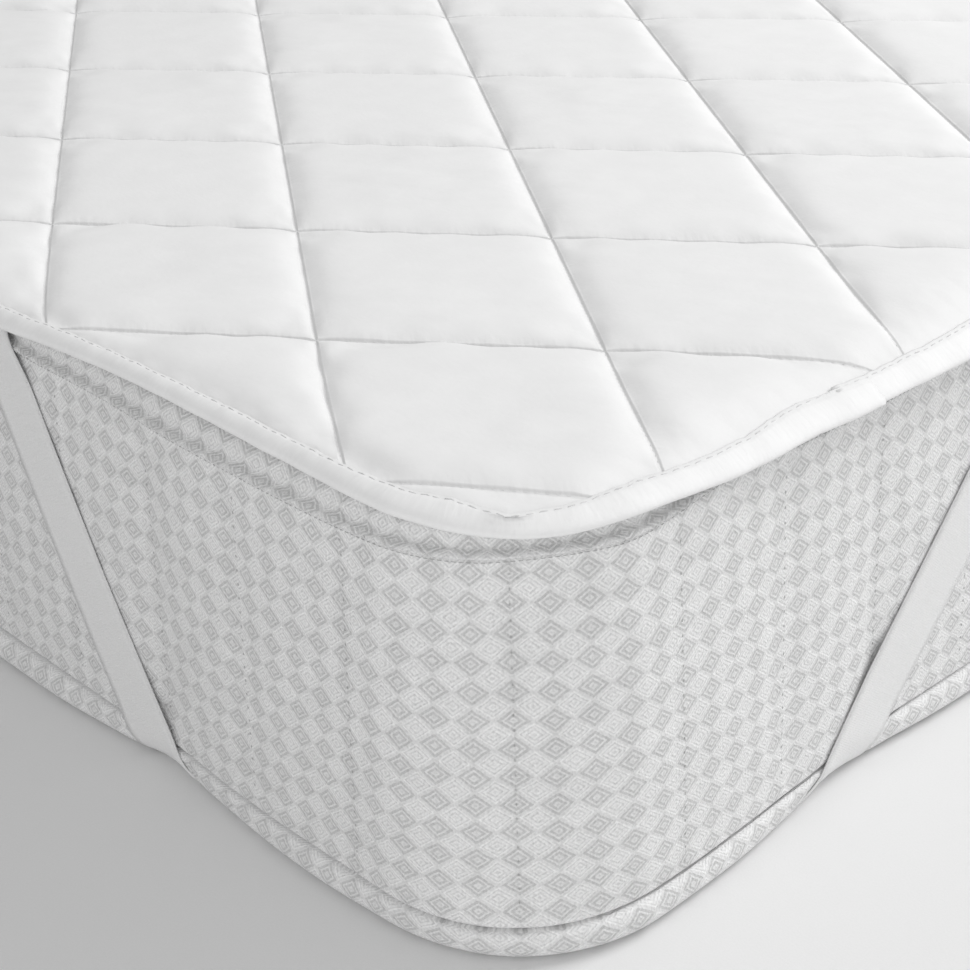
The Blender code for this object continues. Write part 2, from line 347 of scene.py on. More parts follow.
def cloth_place(distance, height):
    """Place on the flat cloth of a point round the mattress. The cloth is stretched at corners."""
    distance = np.minimum(distance, MATTRESS_ROUND - 1e-9)
    side, _, turned = walk(distance)
    lap = (distance > MATTRESS_ROUND / 2) & (side == 0)
    run = distance - CORNER_STRETCH * (side + turned + 4 * lap)
    return run, height - CORNER_DROP * np.sin(math.pi * turned)


print("one repeat of the ticking is", round(REPEAT_WIDTH * 1000, 2), "mm wide")

# %% Woven ticking
# The threads wander by up to this share of a repeat, so that no two diamonds are quite alike.
THREAD_WANDER = (0.09, 0.09, 0.0)
ROW_STITCH_STEP = 0.0078
ROW_CREASE_REACH = 0.0075
ROW_PIT_SHADE = 0.0014


def diamond_rings(nodes):
    """0 in the middle of a dark diamond, 1 in the middle of a light one."""
    cloth = nodes.mapped("UV", (1 / REPEAT_WIDTH, 1 / REPEAT_HEIGHT, 1.0), PATTERN_PHASE)
    wander = nodes.add("ShaderNodeTexNoise", Vector=cloth, Scale=1.9, Detail=4.0)
    drift = nodes.add("ShaderNodeVectorMath", operation="MULTIPLY_ADD")
    nodes.feed(drift.inputs[0], wander.outputs["Color"])
    drift.inputs[1].default_value = THREAD_WANDER
    nodes.feed(drift.inputs[2], cloth)
    split = nodes.add("ShaderNodeSeparateXYZ", Vector=drift.outputs[0])
    columns = nodes.maths("PINGPONG", split.outputs["X"], 0.5)
    return nodes.maths("ADD", columns, nodes.maths("PINGPONG", split.outputs["Y"], 0.5))


def row_puckers(nodes):
    """Painted shade in the pits under the stitches of an upright row, and creases beside it, from 0 to
    1 each.
    """
    rows = nodes.add("ShaderNodeUVMap", uv_map="rows")
    split = nodes.add("ShaderNodeSeparateXYZ", Vector=rows.outputs[0])
    aside, height = split.outputs["X"], split.outputs["Y"]
    beside = nodes.falloff(aside, ROW_CREASE_REACH)
    level = nodes.maths("PINGPONG", nodes.maths("DIVIDE", height, ROW_STITCH_STEP), 0.5)
    pit_shade = nodes.maths("MULTIPLY", nodes.falloff(aside, ROW_PIT_SHADE), nodes.falloff(level, 0.12))
    stretch = nodes.add("ShaderNodeVectorMath", operation="MULTIPLY")
    nodes.feed(stretch.inputs[0], rows.outputs[0])
    stretch.inputs[1].default_value = (130.0, 330.0, 0.0)
    creases = nodes.noise(stretch.outputs[0], 1.0, 3.0)
    return pit_shade, nodes.maths("MULTIPLY", creases, beside)


def ticking(name, with_rows=False):
    """Light grey jacquard. with_rows adds the puckers of the border's upright stitch rows, and painted
    shade at their stitches.
    """
    nodes = Nodes(name)
    pattern = nodes.ramp(diamond_rings(nodes), RING_GREYS)
    thread_noise = nodes.noise(nodes.mapped("UV", (900.0, 650.0, 1.0)), 1.0, 4.0)
    blotches = nodes.noise(nodes.mapped("UV", (60.0, 60.0, 1.0)), 1.0, 3.0)
    grain = nodes.ramp(thread_noise, ((0.3, 0.76), (0.7, 1.17)))
    colour = nodes.mix("MULTIPLY", 0.65, pattern, grain)
    colour = nodes.mix("MULTIPLY", 0.5, colour, nodes.ramp(blotches, ((0.3, 0.90), (0.7, 1.06))))
    relief = nodes.bump(pattern, 0.0012, 0.8)
    relief = nodes.bump(thread_noise, 0.0009, 0.75, relief)
    if with_rows:
        pit_shade, creases = row_puckers(nodes)
        relief = nodes.bump(creases, 0.0016, 0.8, relief)
        # The spots under the row stitches are painted darker: painted shade in their pits.
        colour = nodes.mix("MULTIPLY", pit_shade, colour, grey(0.70))
    return nodes.surface(colour, 0.82, relief, sheen=0.08)


# %% Smooth white cotton
WEAVE_PITCH = 0.0005
PUCKER_REACH = 0.06
FALLING_GROOVE, RISING_GROOVE = 0.012, 0.014


def plain_weave(nodes, source, pitch):
    """Threads over and under each other, as a height from 0 to 1."""
    split = nodes.add("ShaderNodeSeparateXYZ", Vector=nodes.mapped(source, (1 / pitch,) * 3))
    over = nodes.maths("PINGPONG", split.outputs["X"], 0.5)
    under = nodes.maths("PINGPONG", split.outputs["Y"], 0.5)
    return nodes.maths("MULTIPLY", over, under)


def line_puckers(nodes, across, along, reach):
    """Wrinkles that run out of a stitch line. across and along are in diamonds."""
    aside = nodes.maths("PINGPONG", across, 0.5)
    flow = nodes.add("ShaderNodeCombineXYZ", X=nodes.maths("MULTIPLY", across, 6.0),
                     Y=nodes.maths("MULTIPLY", along, 22.0))
    wrinkles = nodes.noise(flow.outputs[0], 1.0, 2.0)
    return nodes.maths("MULTIPLY", wrinkles, nodes.falloff(aside, reach))


def white_cotton():
    """Fine cotton that puckers at its stitch lines, with painted shade along them. Its UV map counts
    diamonds.
    """
    nodes = Nodes("smooth_white_cotton")
    weave = plain_weave(nodes, "Object", WEAVE_PITCH)
    soft = nodes.noise(nodes.mapped("Object", (1.0, 1.0, 1.0)), 55.0, 3.0)
    creases = nodes.noise(nodes.mapped("Object", (1.0, 1.6, 1.0)), 240.0, 4.0)
    lattice = nodes.add("ShaderNodeSeparateXYZ", Vector=nodes.mapped("UV", (1.0, 1.0, 1.0)))
    across, along = lattice.outputs["X"], lattice.outputs["Y"]
    puckers = nodes.maths("ADD", line_puckers(nodes, across, along, PUCKER_REACH),
                          line_puckers(nodes, along, across, PUCKER_REACH))
    falling = nodes.falloff(nodes.maths("PINGPONG", along, 0.5), FALLING_GROOVE)
    rising = nodes.falloff(nodes.maths("PINGPONG", across, 0.5), RISING_GROOVE)
    groove = nodes.maths("MAXIMUM", falling, rising)
    flow = nodes.add("ShaderNodeCombineXYZ", X=nodes.maths("MULTIPLY", across, 7.0),
                     Y=nodes.maths("MULTIPLY", along, 2.2))
    patches = nodes.noise(nodes.mapped("UV", (0.9, 0.9, 1.0)), 1.0, 1.0)
    folds = nodes.maths("MULTIPLY", nodes.noise(flow.outputs[0], 1.0, 1.5),
                        nodes.falloff(nodes.maths("SUBTRACT", 0.62, patches), 0.16))
    colour = nodes.ramp(soft, ((0.3, 0.87), (0.7, 0.895)))
    # Painted shade: the cloth is painted darker along the stitch lines, more along the rising ones.
    colour = nodes.mix("MULTIPLY", nodes.maths("MULTIPLY", falling, 0.4), colour, grey(0.88))
    colour = nodes.mix("MULTIPLY", nodes.maths("MULTIPLY", rising, 0.7), colour, grey(0.82))
    relief = nodes.bump(weave, 0.0001, 0.5)
    relief = nodes.bump(creases, 0.0004, 0.3, relief)
    relief = nodes.bump(folds, 0.0045, 0.5, relief)
    relief = nodes.bump(puckers, 0.0014, 0.5, relief)
    relief = nodes.bump(nodes.maths("SUBTRACT", 1.0, groove), 0.0016, 0.6, relief)
    return nodes.surface(colour, 0.80, relief)


# %% Binding cotton, elastic and thread
RIB_ACROSS, RIB_ALONG = 0.0011, 0.0013


def bias_cotton():
    nodes = Nodes("folded_bias_cotton")
    weave = plain_weave(nodes, "UV", WEAVE_PITCH)
    creases = nodes.noise(nodes.mapped("UV", (500.0, 160.0, 1.0)), 1.0, 3.0)
    colour = nodes.ramp(creases, ((0.3, 0.87), (0.7, 0.90)))
    relief = nodes.bump(weave, 0.0001, 0.5)
    relief = nodes.bump(creases, 0.0006, 0.35, relief)
    return nodes.surface(colour, 0.62, relief, sheen=0.1)


def woven_elastic():
    """Close ribs across the strap, over cords that run along it."""
    nodes = Nodes("flat_woven_elastic")
    split = nodes.add("ShaderNodeSeparateXYZ", Vector=nodes.mapped("UV", (1.0, 1.0, 1.0)))
    across = nodes.maths("PINGPONG", nodes.maths("DIVIDE", split.outputs["X"], RIB_ACROSS), 0.5)
    ribs = nodes.maths("PINGPONG", nodes.maths("DIVIDE", split.outputs["Y"], RIB_ALONG), 0.5)
    height = nodes.maths("ADD", nodes.maths("MULTIPLY", across, 0.5), ribs)
    flecks = nodes.noise(nodes.mapped("UV", (900.0, 500.0, 1.0)), 1.0, 3.0)
    colour = nodes.mix("MULTIPLY", 0.5, nodes.ramp(ribs, ((0.0, 0.84), (0.5, 0.96))),
                       nodes.ramp(flecks, ((0.3, 0.90), (0.7, 1.0))))
    relief = nodes.bump(height, 0.0007, 0.8)
    relief = nodes.bump(flecks, 0.0003, 0.6, relief)
    return nodes.surface(colour, 0.7, relief, sheen=0.1)


def sewing_thread(name, tone):
    nodes = Nodes(name)
    twist = nodes.noise(nodes.mapped("Object", (1.0, 1.0, 1.0)), 2500.0, 2.0)
    colour = nodes.ramp(twist, ((0.3, tone * 0.85), (0.7, tone)))
    return nodes.surface(colour, 0.6, nodes.bump(twist, 0.0002, 0.6), sheen=0.1)


# %% Make the finishes
TICKING = ticking("woven_ticking")
BORDER_TICKING = ticking("woven_ticking_with_rows", with_rows=True)
COTTON = white_cotton()
BIAS = bias_cotton()
ELASTIC = woven_elastic()
WHITE_THREAD = sewing_thread("white_thread", 0.88)
# A darker copy of the white thread for the binding's topstitch: its grey is painted shade along the
# stitches.
THREAD_WITH_PAINTED_SHADE = sewing_thread("white_thread_with_painted_shade", 0.76)
GREY_THREAD = sewing_thread("grey_thread", 0.42)
FINISHES = (TICKING, BORDER_TICKING, COTTON, BIAS, ELASTIC, WHITE_THREAD, THREAD_WITH_PAINTED_SHADE, GREY_THREAD)
print("materials:", [finish.name for finish in FINISHES])

# %% [markdown]
# ## Camera
# The camera stands where the photograph was taken from, low over one corner, and is rolled a
# little. A constraint could point it at a target, but a roll is hard to add to one, so its axes
# are worked out from the compass direction, the height and the roll.


# %% Place the camera
CAMERA_PLACE = (1.0199, -1.4977, 0.6590)
CAMERA_AZIMUTH, CAMERA_ELEVATION, CAMERA_ROLL = 46.8373, 28.2749, -2.2720
CAMERA_LENS = 76.627


def add_camera(place, azimuth, elevation, roll, lens):
    turn, rise = math.radians(azimuth), math.radians(elevation)
    back = Vector((math.sin(turn) * math.cos(rise), -math.cos(turn) * math.cos(rise), math.sin(rise)))
    right = Vector((math.cos(turn), math.sin(turn), 0.0))
    up = back.cross(right)
    bpy.ops.object.camera_add(location=place)
    camera = bpy.context.object
    tilt = Matrix.Rotation(math.radians(roll), 3, "Z")
    axes = Matrix((right, up, back)).transposed() @ tilt
    camera.rotation_euler = axes.to_euler()
    camera.data.lens = lens
    camera.data.sensor_width = 36.0
    camera.data.clip_start = 0.01
    bpy.context.scene.camera = camera
    return camera


start_fresh()
camera = add_camera(CAMERA_PLACE, CAMERA_AZIMUTH, CAMERA_ELEVATION, CAMERA_ROLL, CAMERA_LENS)
print("camera at", [round(v, 3) for v in camera.location])

# %% [markdown]
# ## Strips round the mattress
# A border is a long strip of cloth sewn into a ring. Extruding a rounded rectangle would give its
# wall but no flat cloth to draw the weave on. So it starts as a flat grid with a UV map, as the
# cloth does on the cutting table. Each column of the grid is put at its distance round the outline
# and each row at its height, then the two ends are merged and the open edges are filled.


# %% Strips and closed bands
def flat_strip(name, along, across):
    """A grid of this many steps along and across, and each point's share of both."""
    start_fresh()
    bpy.ops.mesh.primitive_grid_add(x_subdivisions=along, y_subdivisions=across, size=1.0)
    strip = bpy.context.object
    strip.name = name
    share = points_of(strip)[:, :2] + 0.5
    return strip, share[:, 0], share[:, 1]


def close_band(obj):
    """Merges the ends of a ring-shaped strip, and fills its two open edges."""
    only(obj)
    bpy.ops.object.mode_set(mode="EDIT")
    bpy.ops.mesh.select_all(action="SELECT")
    bpy.ops.mesh.remove_doubles(threshold=0.00001)
    bpy.ops.mesh.select_all(action="DESELECT")
    bpy.ops.mesh.select_non_manifold(extend=False)
    bpy.ops.mesh.edge_face_add()
    bpy.ops.object.mode_set(mode="OBJECT")


# %% [markdown]
# ## Mattress border
# The border shows the ticking best. It isn't a plain wall: upright rows of stitches pull it in
# every eight centimetres or so, the straps pinch it, it swells between them, and its edges are
# tucked behind the seams. All of that is one outward shift for each point, made of smooth parts
# that are added up, because a sculpted wall couldn't be repeated at all four corners.

# %% How the straps shape the mattress
# (distance from a corner's middle, less than 0 on the short side; outward shift at the upper seam,
# at the lower seam and at the base's edge). Each strap pinches the mattress where it crosses it.
CORNER_SHAPE = (
    (-0.500, -0.0020, 0.0005, 0.0040),
    (-0.420, -0.0075, 0.0000, 0.0050),
    (-0.380, -0.0090, 0.0010, 0.0055),
    (-0.345, -0.0072, 0.0012, 0.0060),
    (-0.290, -0.0064, 0.0020, 0.0018),
    (-0.262, -0.0050, 0.0008, -0.0004),
    (-0.233, -0.0018, 0.0008, -0.0012),
    (-0.200, -0.0002, 0.0040, 0.0030),
    (-0.154, 0.0008, 0.0060, 0.0072),
    (-0.112, 0.0012, 0.0055, 0.0085),
    (-0.080, 0.0004, 0.0055, 0.0065),
    (-0.050, -0.0028, 0.0050, 0.0045),
    (-0.020, -0.0042, 0.0058, 0.0055),
    (0.000, -0.0042, 0.0062, 0.0066),
    (0.030, -0.0042, 0.0055, 0.0064),
    (0.052, -0.0008, 0.0048, 0.0078),
    (0.090, 0.0005, 0.0068, 0.0084),
    (0.135, -0.0003, 0.0056, 0.0074),
    (0.175, 0.0000, 0.0044, 0.0024),
    (0.215, -0.0010, 0.0020, -0.0018),
    (0.250, -0.0015, 0.0000, -0.0018),
    (0.285, -0.0020, 0.0014, 0.0030),
    (0.330, -0.0025, 0.0032, 0.0062),
    (0.420, -0.0020, 0.0025, 0.0055),
    (0.600, 0.0000, 0.0010, 0.0030),
)
# (the same distance, how much higher the upper seam lies)
SEAM_RISE = (
    (-0.520, 0.0),
    (-0.030, 0.0),
    (0.000, 0.0012),
    (0.020, 0.0032),
    (0.045, 0.0016),
    (0.066, 0.0012),
    (0.092, 0.0042),
    (0.115, 0.0078),
    (0.141, 0.0068),
    (0.168, 0.0044),
    (0.205, 0.0026),
    (0.240, 0.0010),
    (0.290, 0.0),
)
# Both tables are read between these distances, at even steps, and eased over a few of them.
SHAPE_START, SHAPE_END = -0.52, 0.62
SHAPE_STEP = 0.004
SHAPE_SPREAD = 5
# Shares of the wall's height are raised to these powers, so that the top changes most.
WALL_POWER = 1.3
RISE_POWER = 3
FOOT_REACH = 0.008


def from_corner(distance):
    """Distance from the nearest corner's middle, less than 0 along the short sides."""
    long_side = 2 * (HALF_Y - CORNER_RADIUS)
    short_side = 2 * (HALF_X - CORNER_RADIUS)
    turn = math.pi / 2 * CORNER_RADIUS
    middle = (long_side + turn) / 2
    corners = np.array([middle, middle + short_side + turn, -middle - short_side - turn, -middle])
    gap = np.asarray(distance)[..., None] - corners
    gap = gap - MATTRESS_ROUND * np.round(gap / MATTRESS_ROUND)
    nearest = np.abs(gap).argmin(-1)
    signed = np.take_along_axis(gap, nearest[..., None], -1)[..., 0]
    return signed * np.array([-1.0, 1.0, -1.0, 1.0])[nearest]


def eased_table(table, low, high):
    """The table's columns at even steps, with their corners eased."""
    table = np.array(table)
    places = np.arange(low, high, SHAPE_STEP)
    spread = np.ones(2 * SHAPE_SPREAD + 1) / (2 * SHAPE_SPREAD + 1)
    columns = []
    for column in table[:, 1:].T:
        even = np.interp(places, table[:, 0], column)
        padded = np.pad(even, SHAPE_SPREAD, mode="edge")
        columns.append(np.convolve(padded, spread, "valid"))
    return places, columns


SHAPE_PLACES, SHAPE_COLUMNS = eased_table(CORNER_SHAPE, SHAPE_START, SHAPE_END)
RISE_PLACES, (RISE_HEIGHTS,) = eased_table(SEAM_RISE, SHAPE_START, SHAPE_END)
TALL = UPPER_SEAM - LOWER_SEAM


def seam_rise(gap):
    return np.interp(gap, RISE_PLACES, RISE_HEIGHTS)


def raised(distance, height):
    """Height above the lower seam once the upper seam's rise has lifted the cloth."""
    return height + seam_rise(from_corner(distance)) * (height / TALL) ** RISE_POWER


def seam_shift(gap):
    return np.interp(gap, SHAPE_PLACES, SHAPE_COLUMNS[0])


def wall_shift(gap, height):
    """Outward shift of the wall at this distance from a corner and height above the floor."""
    share = np.clip((height - LOWER_SEAM) / TALL, 0, 1)
    upper, lower, foot = (np.interp(gap, SHAPE_PLACES, column) for column in SHAPE_COLUMNS)
    wall = lower + (upper - lower) * share**WALL_POWER
    return wall + (foot - lower) * np.clip((LOWER_SEAM - height) / FOOT_REACH, 0, 1)


print("straps shift the wall by up to", round(1000 * max(abs(c).max() for c in SHAPE_COLUMNS), 1), "mm")


# %% Stitch rows round the border
ROW_STEP = 0.078
CORNER_ROW_STEP = 0.088


def row_places():
    """Distances round the border of its vertical stitch rows, counted out from each corner."""
    long_side = 2 * (HALF_Y - CORNER_RADIUS)
    short_side = 2 * (HALF_X - CORNER_RADIUS)
    turn = math.pi / 2 * CORNER_RADIUS
    corners = [long_side / 2 + turn / 2]
    for straight in (short_side, long_side, short_side):
        corners.append(corners[-1] + straight + turn)
    places = []
    for corner, straight in zip(corners, (short_side, long_side, short_side, long_side)):
        length = straight + turn - 2 * CORNER_ROW_STEP
        parts = round(length / ROW_STEP)
        places.append(corner)
        places += [corner + CORNER_ROW_STEP + length * k / parts for k in range(parts + 1)]
    return np.mod(places, MATTRESS_ROUND)


ROWS = np.sort(row_places())
print(len(ROWS), "stitch rows")


def to_nearest_row(distance):
    """Signed distance to the nearest stitch row, and which row that is."""
    gap = distance[..., None] - ROWS
    gap = gap - MATTRESS_ROUND * np.round(gap / MATTRESS_ROUND)
    nearest = np.abs(gap).argmin(-1)
    return np.take_along_axis(gap, nearest[..., None], -1)[..., 0], nearest


# %% Shape the border
BORDER_STATIONS = 1100
BORDER_ROWS = (
    0.0, 0.0007, 0.0015, 0.0024, 0.0036, 0.006, 0.010, 0.016, 0.023, 0.031, 0.039, 0.047, 0.055, 0.063,
    0.071, 0.079, 0.087, 0.095, 0.103, 0.111, 0.119, 0.127, 0.135, 0.143, 0.151, 0.159, 0.167, 0.174,
    0.180, 0.184, 0.1870, 0.1885, 0.1895, 0.1903, 0.1912, 0.1922, 0.1932, 0.1938, 0.1944,
)
SEAM_TUCK, SEAM_TUCK_REACH = 0.0022, 0.0020
FOOT_TUCK, FOOT_TUCK_REACH = 0.0036, 0.0034
ROW_PULL, ROW_REACH = 0.0027, 0.011
ROW_ENDS = 0.02
BESIDE_LIMIT = 0.03
WAVE_SWELL, MIDDLE_SWELL = 0.0005, 0.0004
# How far the cloth puckers outwards by the seam, how far below it, and over what reach.
SEAM_PUCKER, SEAM_PUCKER_DROP, SEAM_PUCKER_REACH = 0.0005, 0.0060, 0.0035


def border_relief(distance, height):
    """How far the border's cloth stands out of its plane."""
    gap, row = to_nearest_row(distance)
    # Each row was pulled a little differently, from a fifth of the full depth up to all of it.
    pull = 0.6 + 0.4 * np.sin(row * 2.4)
    ends = np.clip(np.minimum(height, TALL - height) / ROW_ENDS, 0, 1)
    trough = -ROW_PULL * pull * np.exp(-((gap / ROW_REACH) ** 2)) * ends
    swell = WAVE_SWELL * uneven(distance, MATTRESS_ROUND, (23, 51, 94), 5) * ends
    swell += MIDDLE_SWELL * np.sin(height / TALL * math.pi)
    return trough + swell


def seam_roll(from_seam, pucker):
    """The cloth close to a seam, tucked in behind its stitches."""
    tuck = -SEAM_TUCK * np.clip(1 - from_seam / SEAM_TUCK_REACH, 0, 1) ** 2
    near_seam = np.exp(-(((from_seam - SEAM_PUCKER_DROP) / SEAM_PUCKER_REACH) ** 2))
    return tuck + SEAM_PUCKER * near_seam * pucker


def border_surface(distance, height):
    """Points on the border's cloth, and the way out of it. height is above the lower seam."""
    pucker = uneven(distance, MATTRESS_ROUND, (470, 610, 820), 8)
    grow = border_relief(distance, height) + seam_roll(TALL - height, pucker)
    grow -= FOOT_TUCK * np.clip(1 - height / FOOT_TUCK_REACH, 0, 1) ** 2
    grow += wall_shift(from_corner(distance), LOWER_SEAM + height)
    points, out = ring(walk(distance), HALF_X + grow, HALF_Y + grow, CORNER_RADIUS + grow)
    return np.column_stack([points, LOWER_SEAM + raised(distance, height)]), out


def loop_values(obj, values):
    """Vertex values repeated for every corner of every face."""
    corner = np.empty(len(obj.data.loops), int)
    obj.data.loops.foreach_get("vertex_index", corner)
    return np.column_stack([value[corner] for value in values]).ravel()


def make_border():
    border, along, across = flat_strip("mattress_border_cloth", BORDER_STATIONS, len(BORDER_ROWS) - 1)
    stations = np.linspace(0, MATTRESS_ROUND, BORDER_STATIONS + 1)
    stations[np.rint(ROWS / MATTRESS_ROUND * BORDER_STATIONS).astype(int)] = ROWS
    distance = stations[np.rint(along * BORDER_STATIONS).astype(int)]
    rows = np.array(BORDER_ROWS) * TALL / BORDER_ROWS[-1]
    height = rows[np.rint(across * (len(rows) - 1)).astype(int)]
    cloth = cloth_place(distance, raised(distance, height))
    border.data.uv_layers.active.data.foreach_set("uv", loop_values(border, cloth))
    beside = np.minimum(np.abs(to_nearest_row(distance)[0]), BESIDE_LIMIT)
    border.data.uv_layers.new(name="rows", do_init=False)
    border.data.uv_layers["rows"].data.foreach_set("uv", loop_values(border, (beside, height)))
    border.data.uv_layers.active_index = 0
    move_points(border, border_surface(distance, height)[0])
    close_band(border)
    finish_mesh(border)
    return border


border = make_border()

# %% [markdown]
# ## Elastic straps
# A strap is a flat band of one thickness that is sewn under the rim at both ends and stretched under
# the corner. A curve with a flat bevel would twist where the route turns in two directions at
# once. So the strap is a narrow grid between two edges, and each edge follows the same route as
# the solid's: down one side, round the lower edge, under the corner and up the other side. The
# edges run parallel to the mattress's edge where it turns, which is why the strap lies flat.

# %% The strap's route up one side
STRAP_WIDTH = 0.040
STRAP_THICKNESS = 0.0012
SHORT_SIDE_FOOT, SHORT_SIDE_LEAN = 0.274, math.radians(31.5)
LONG_SIDE_FOOT, LONG_SIDE_LEAN = 0.238, math.radians(43.2)
STRAP_TURN = 0.012
STRAP_FOOT = 0.0010
STRAP_RISE = (
    (0.0030, 0.0165),
    (0.0018, 0.0260),
    (0.0018, 0.0600),
    (0.0018, 0.1100),
    (0.0018, 0.1600),
    (0.0018, 0.1980),
    (0.0034, 0.2110),
    (0.0039, 0.2175),
    (0.0032, 0.2230),
    (0.0004, 0.2275),
    (-0.0060, 0.2306),
)
STRAP_STEP = 0.0025
EASING = np.array([1, 2, 3, 2, 1]) / 9


def strap_route():
    """Outward reach, height and length run from the foot, from the underside up to the rim."""
    angles = np.linspace(-math.pi / 2, 0, 13)
    turn = np.column_stack([
        BASE_BULGE - STRAP_TURN + STRAP_TURN * np.cos(angles),
        STRAP_FOOT + STRAP_TURN + STRAP_TURN * np.sin(angles),
    ])
    route = np.concatenate([turn, STRAP_RISE])
    run = np.concatenate([[0.0], np.cumsum(np.linalg.norm(np.diff(route, axis=0), axis=1))])
    return route, run - run[len(turn) - 1]


def strap_edges(place, foot, lean):
    """The strap's two edges up one side. place turns (along, outward, height) into a point."""
    route, run = strap_route()
    middle = foot + math.tan(lean) * run
    half = STRAP_WIDTH / 2 / math.cos(lean)
    near = [place(a - half, out, height) for a, (out, height) in zip(middle, route)]
    far = [place(a + half, out, height) for a, (out, height) in zip(middle, route)]
    return np.array(near), np.array(far)


def evenly(line, steps):
    """The line resampled at even steps, with its corners eased."""
    run = np.concatenate([[0.0], np.cumsum(np.linalg.norm(np.diff(line, axis=0), axis=1))])
    at = np.linspace(0, run[-1], steps + 1)
    even = np.column_stack([np.interp(at, run, line[:, k]) for k in range(3)])
    padded = np.concatenate([even[:1], even[:1], even, even[-1:], even[-1:]])
    eased = np.column_stack([np.convolve(padded[:, k], EASING, "valid") for k in range(3)])
    eased[0], eased[-1] = even[0], even[-1]
    return eased


# %% Make a strap for each corner
STRAP_COLUMNS = 8
INSIDE_POINT = (0.3, 0.7, 0.1)


def make_strap(name, sign_x, sign_y):
    before_turn = CORNER_RADIUS * (1 - math.pi / 4)

    def on_short_side(along, out, height):
        shift = float(wall_shift(before_turn - along, height))
        return (sign_x * (HALF_X - along), sign_y * (HALF_Y + out + shift), height)

    def on_long_side(along, out, height):
        shift = float(wall_shift(along - before_turn, height))
        return (sign_x * (HALF_X + out + shift), sign_y * (HALF_Y - along), height)

    short = strap_edges(on_short_side, SHORT_SIDE_FOOT, SHORT_SIDE_LEAN)
    long = strap_edges(on_long_side, LONG_SIDE_FOOT, LONG_SIDE_LEAN)
    near = np.concatenate([short[0][::-1], long[0]])
    far = np.concatenate([short[1][::-1], long[1]])
    length = np.linalg.norm(np.diff((near + far) / 2, axis=0), axis=1).sum()
    steps = round(length / STRAP_STEP)
    near, far = evenly(near, steps), evenly(far, steps)
    strap, along, across = flat_strip(name, steps, STRAP_COLUMNS)
    row = np.rint(along * steps).astype(int)
    move_points(strap, near[row] + (far - near)[row] * across[:, None])
    stretch_map(strap, length, STRAP_WIDTH)
    return strap, length


def face_out(obj, inside_point):
    """Turns a strap's faces away from a point, judged by a face some way down its first side."""
    face = obj.data.polygons[len(obj.data.polygons) // 8]
    if face.normal.dot(face.center - Vector(inside_point)) < 0:
        obj.data.flip_normals()


straps = []
strap_length = 0.0
for sign_x, side in ((1, "right"), (-1, "left")):
    for sign_y, end in ((-1, "foot"), (1, "head")):
        strap, strap_length = make_strap(f"elastic_strap_{end}_{side}", sign_x, sign_y)
        face_out(strap, (sign_x * INSIDE_POINT[0], sign_y * INSIDE_POINT[1], INSIDE_POINT[2]))
        straps.append((strap, f"corner_strap_{end}_{side}"))
print("each strap is", round(strap_length, 3), "m long")

# %% [markdown]
# ## Shoulder and base of the mattress
# Above the upper seam the ticking rolls over the shoulder, and below the lower seam it rolls under
# the base. A bevel on a block would round them evenly, but a sewn edge also has a rolled ridge and a
# groove, so both are bands with a profile of their own. The straps press shallow dents into the
# base where they pass round it, found by asking each point for the nearest place on a strap.

# %% A band with a profile
BAND_STATIONS = 1100
SMALLEST_RADIUS = 0.030


def make_band(name, profile, relief, shift, lift):
    """A ring-shaped band. profile is a list of (outward reach, height), moved by the functions."""
    profile = np.array(profile)
    run = np.concatenate([[0.0], np.cumsum(np.linalg.norm(np.diff(profile, axis=0), axis=1))])
    steps = len(profile) - 1
    band, along, across = flat_strip(name, BAND_STATIONS, steps)
    layer = band.data.uv_layers.active.data
    flat = np.empty(len(layer) * 2)
    layer.foreach_get("uv", flat)
    height = np.interp(flat[1::2] * steps, np.arange(steps + 1), run)
    flat[0::2], flat[1::2] = cloth_place(flat[0::2] * MATTRESS_ROUND, height)
    layer.foreach_set("uv", flat)
    row = np.rint(across * steps).astype(int)
    distance = along * MATTRESS_ROUND
    gap = from_corner(distance)
    grow = profile[row, 0] + relief(distance, run[row]) + shift(gap, profile[row])
    radius = np.maximum(CORNER_RADIUS + grow, SMALLEST_RADIUS)
    points, _ = ring(walk(distance), HALF_X + grow, HALF_Y + grow, radius)
    move_points(band, np.column_stack([points, profile[row, 1] + lift(gap, profile[row, 1])]))
    return band


# %% Shoulder
SHOULDER_ROUND, SHOULDER_STEPS = 0.0185, 12
SHOULDER_OUT = -0.0030
SHOULDER_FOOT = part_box("mattress_top_panel")[0].z
RIDGE_OUT, RIDGE_RISE = 0.0027, 0.0018
# (outward reach, height above the shoulder's foot) of the rolled edge that is sewn on the seam
ROLLED_EDGE = (
    (-0.0012, 0.0),
    (0.0008, 0.0002),
    (0.0022, 0.0009),
    (RIDGE_OUT, RIDGE_RISE),
    (0.0022, 0.0027),
    (0.0006, 0.0034),
    (-0.0018, 0.0039),
)
ROLLED_HEIGHT = 0.0044
INNER_EDGE = -0.040
SHOULDER_PUCKER, SHOULDER_PULL = 0.0006, 0.0004
SHOULDER_FADE, RIDGE_START = 0.008, 0.002


def shoulder_profile():
    """A rolled edge on the seam, a groove above it, then the rounded shoulder."""
    profile = [(out, SHOULDER_FOOT + rise) for out, rise in ROLLED_EDGE]
    start = SHOULDER_FOOT + ROLLED_HEIGHT
    for k in range(SHOULDER_STEPS + 1):
        angle = math.pi / 2 * k / SHOULDER_STEPS
        out = SHOULDER_OUT - SHOULDER_ROUND * (1 - math.cos(angle))
        profile.append((out, start + (MATTRESS_TOP - start) * math.sin(angle)))
    return profile + [(INNER_EDGE, MATTRESS_TOP)]


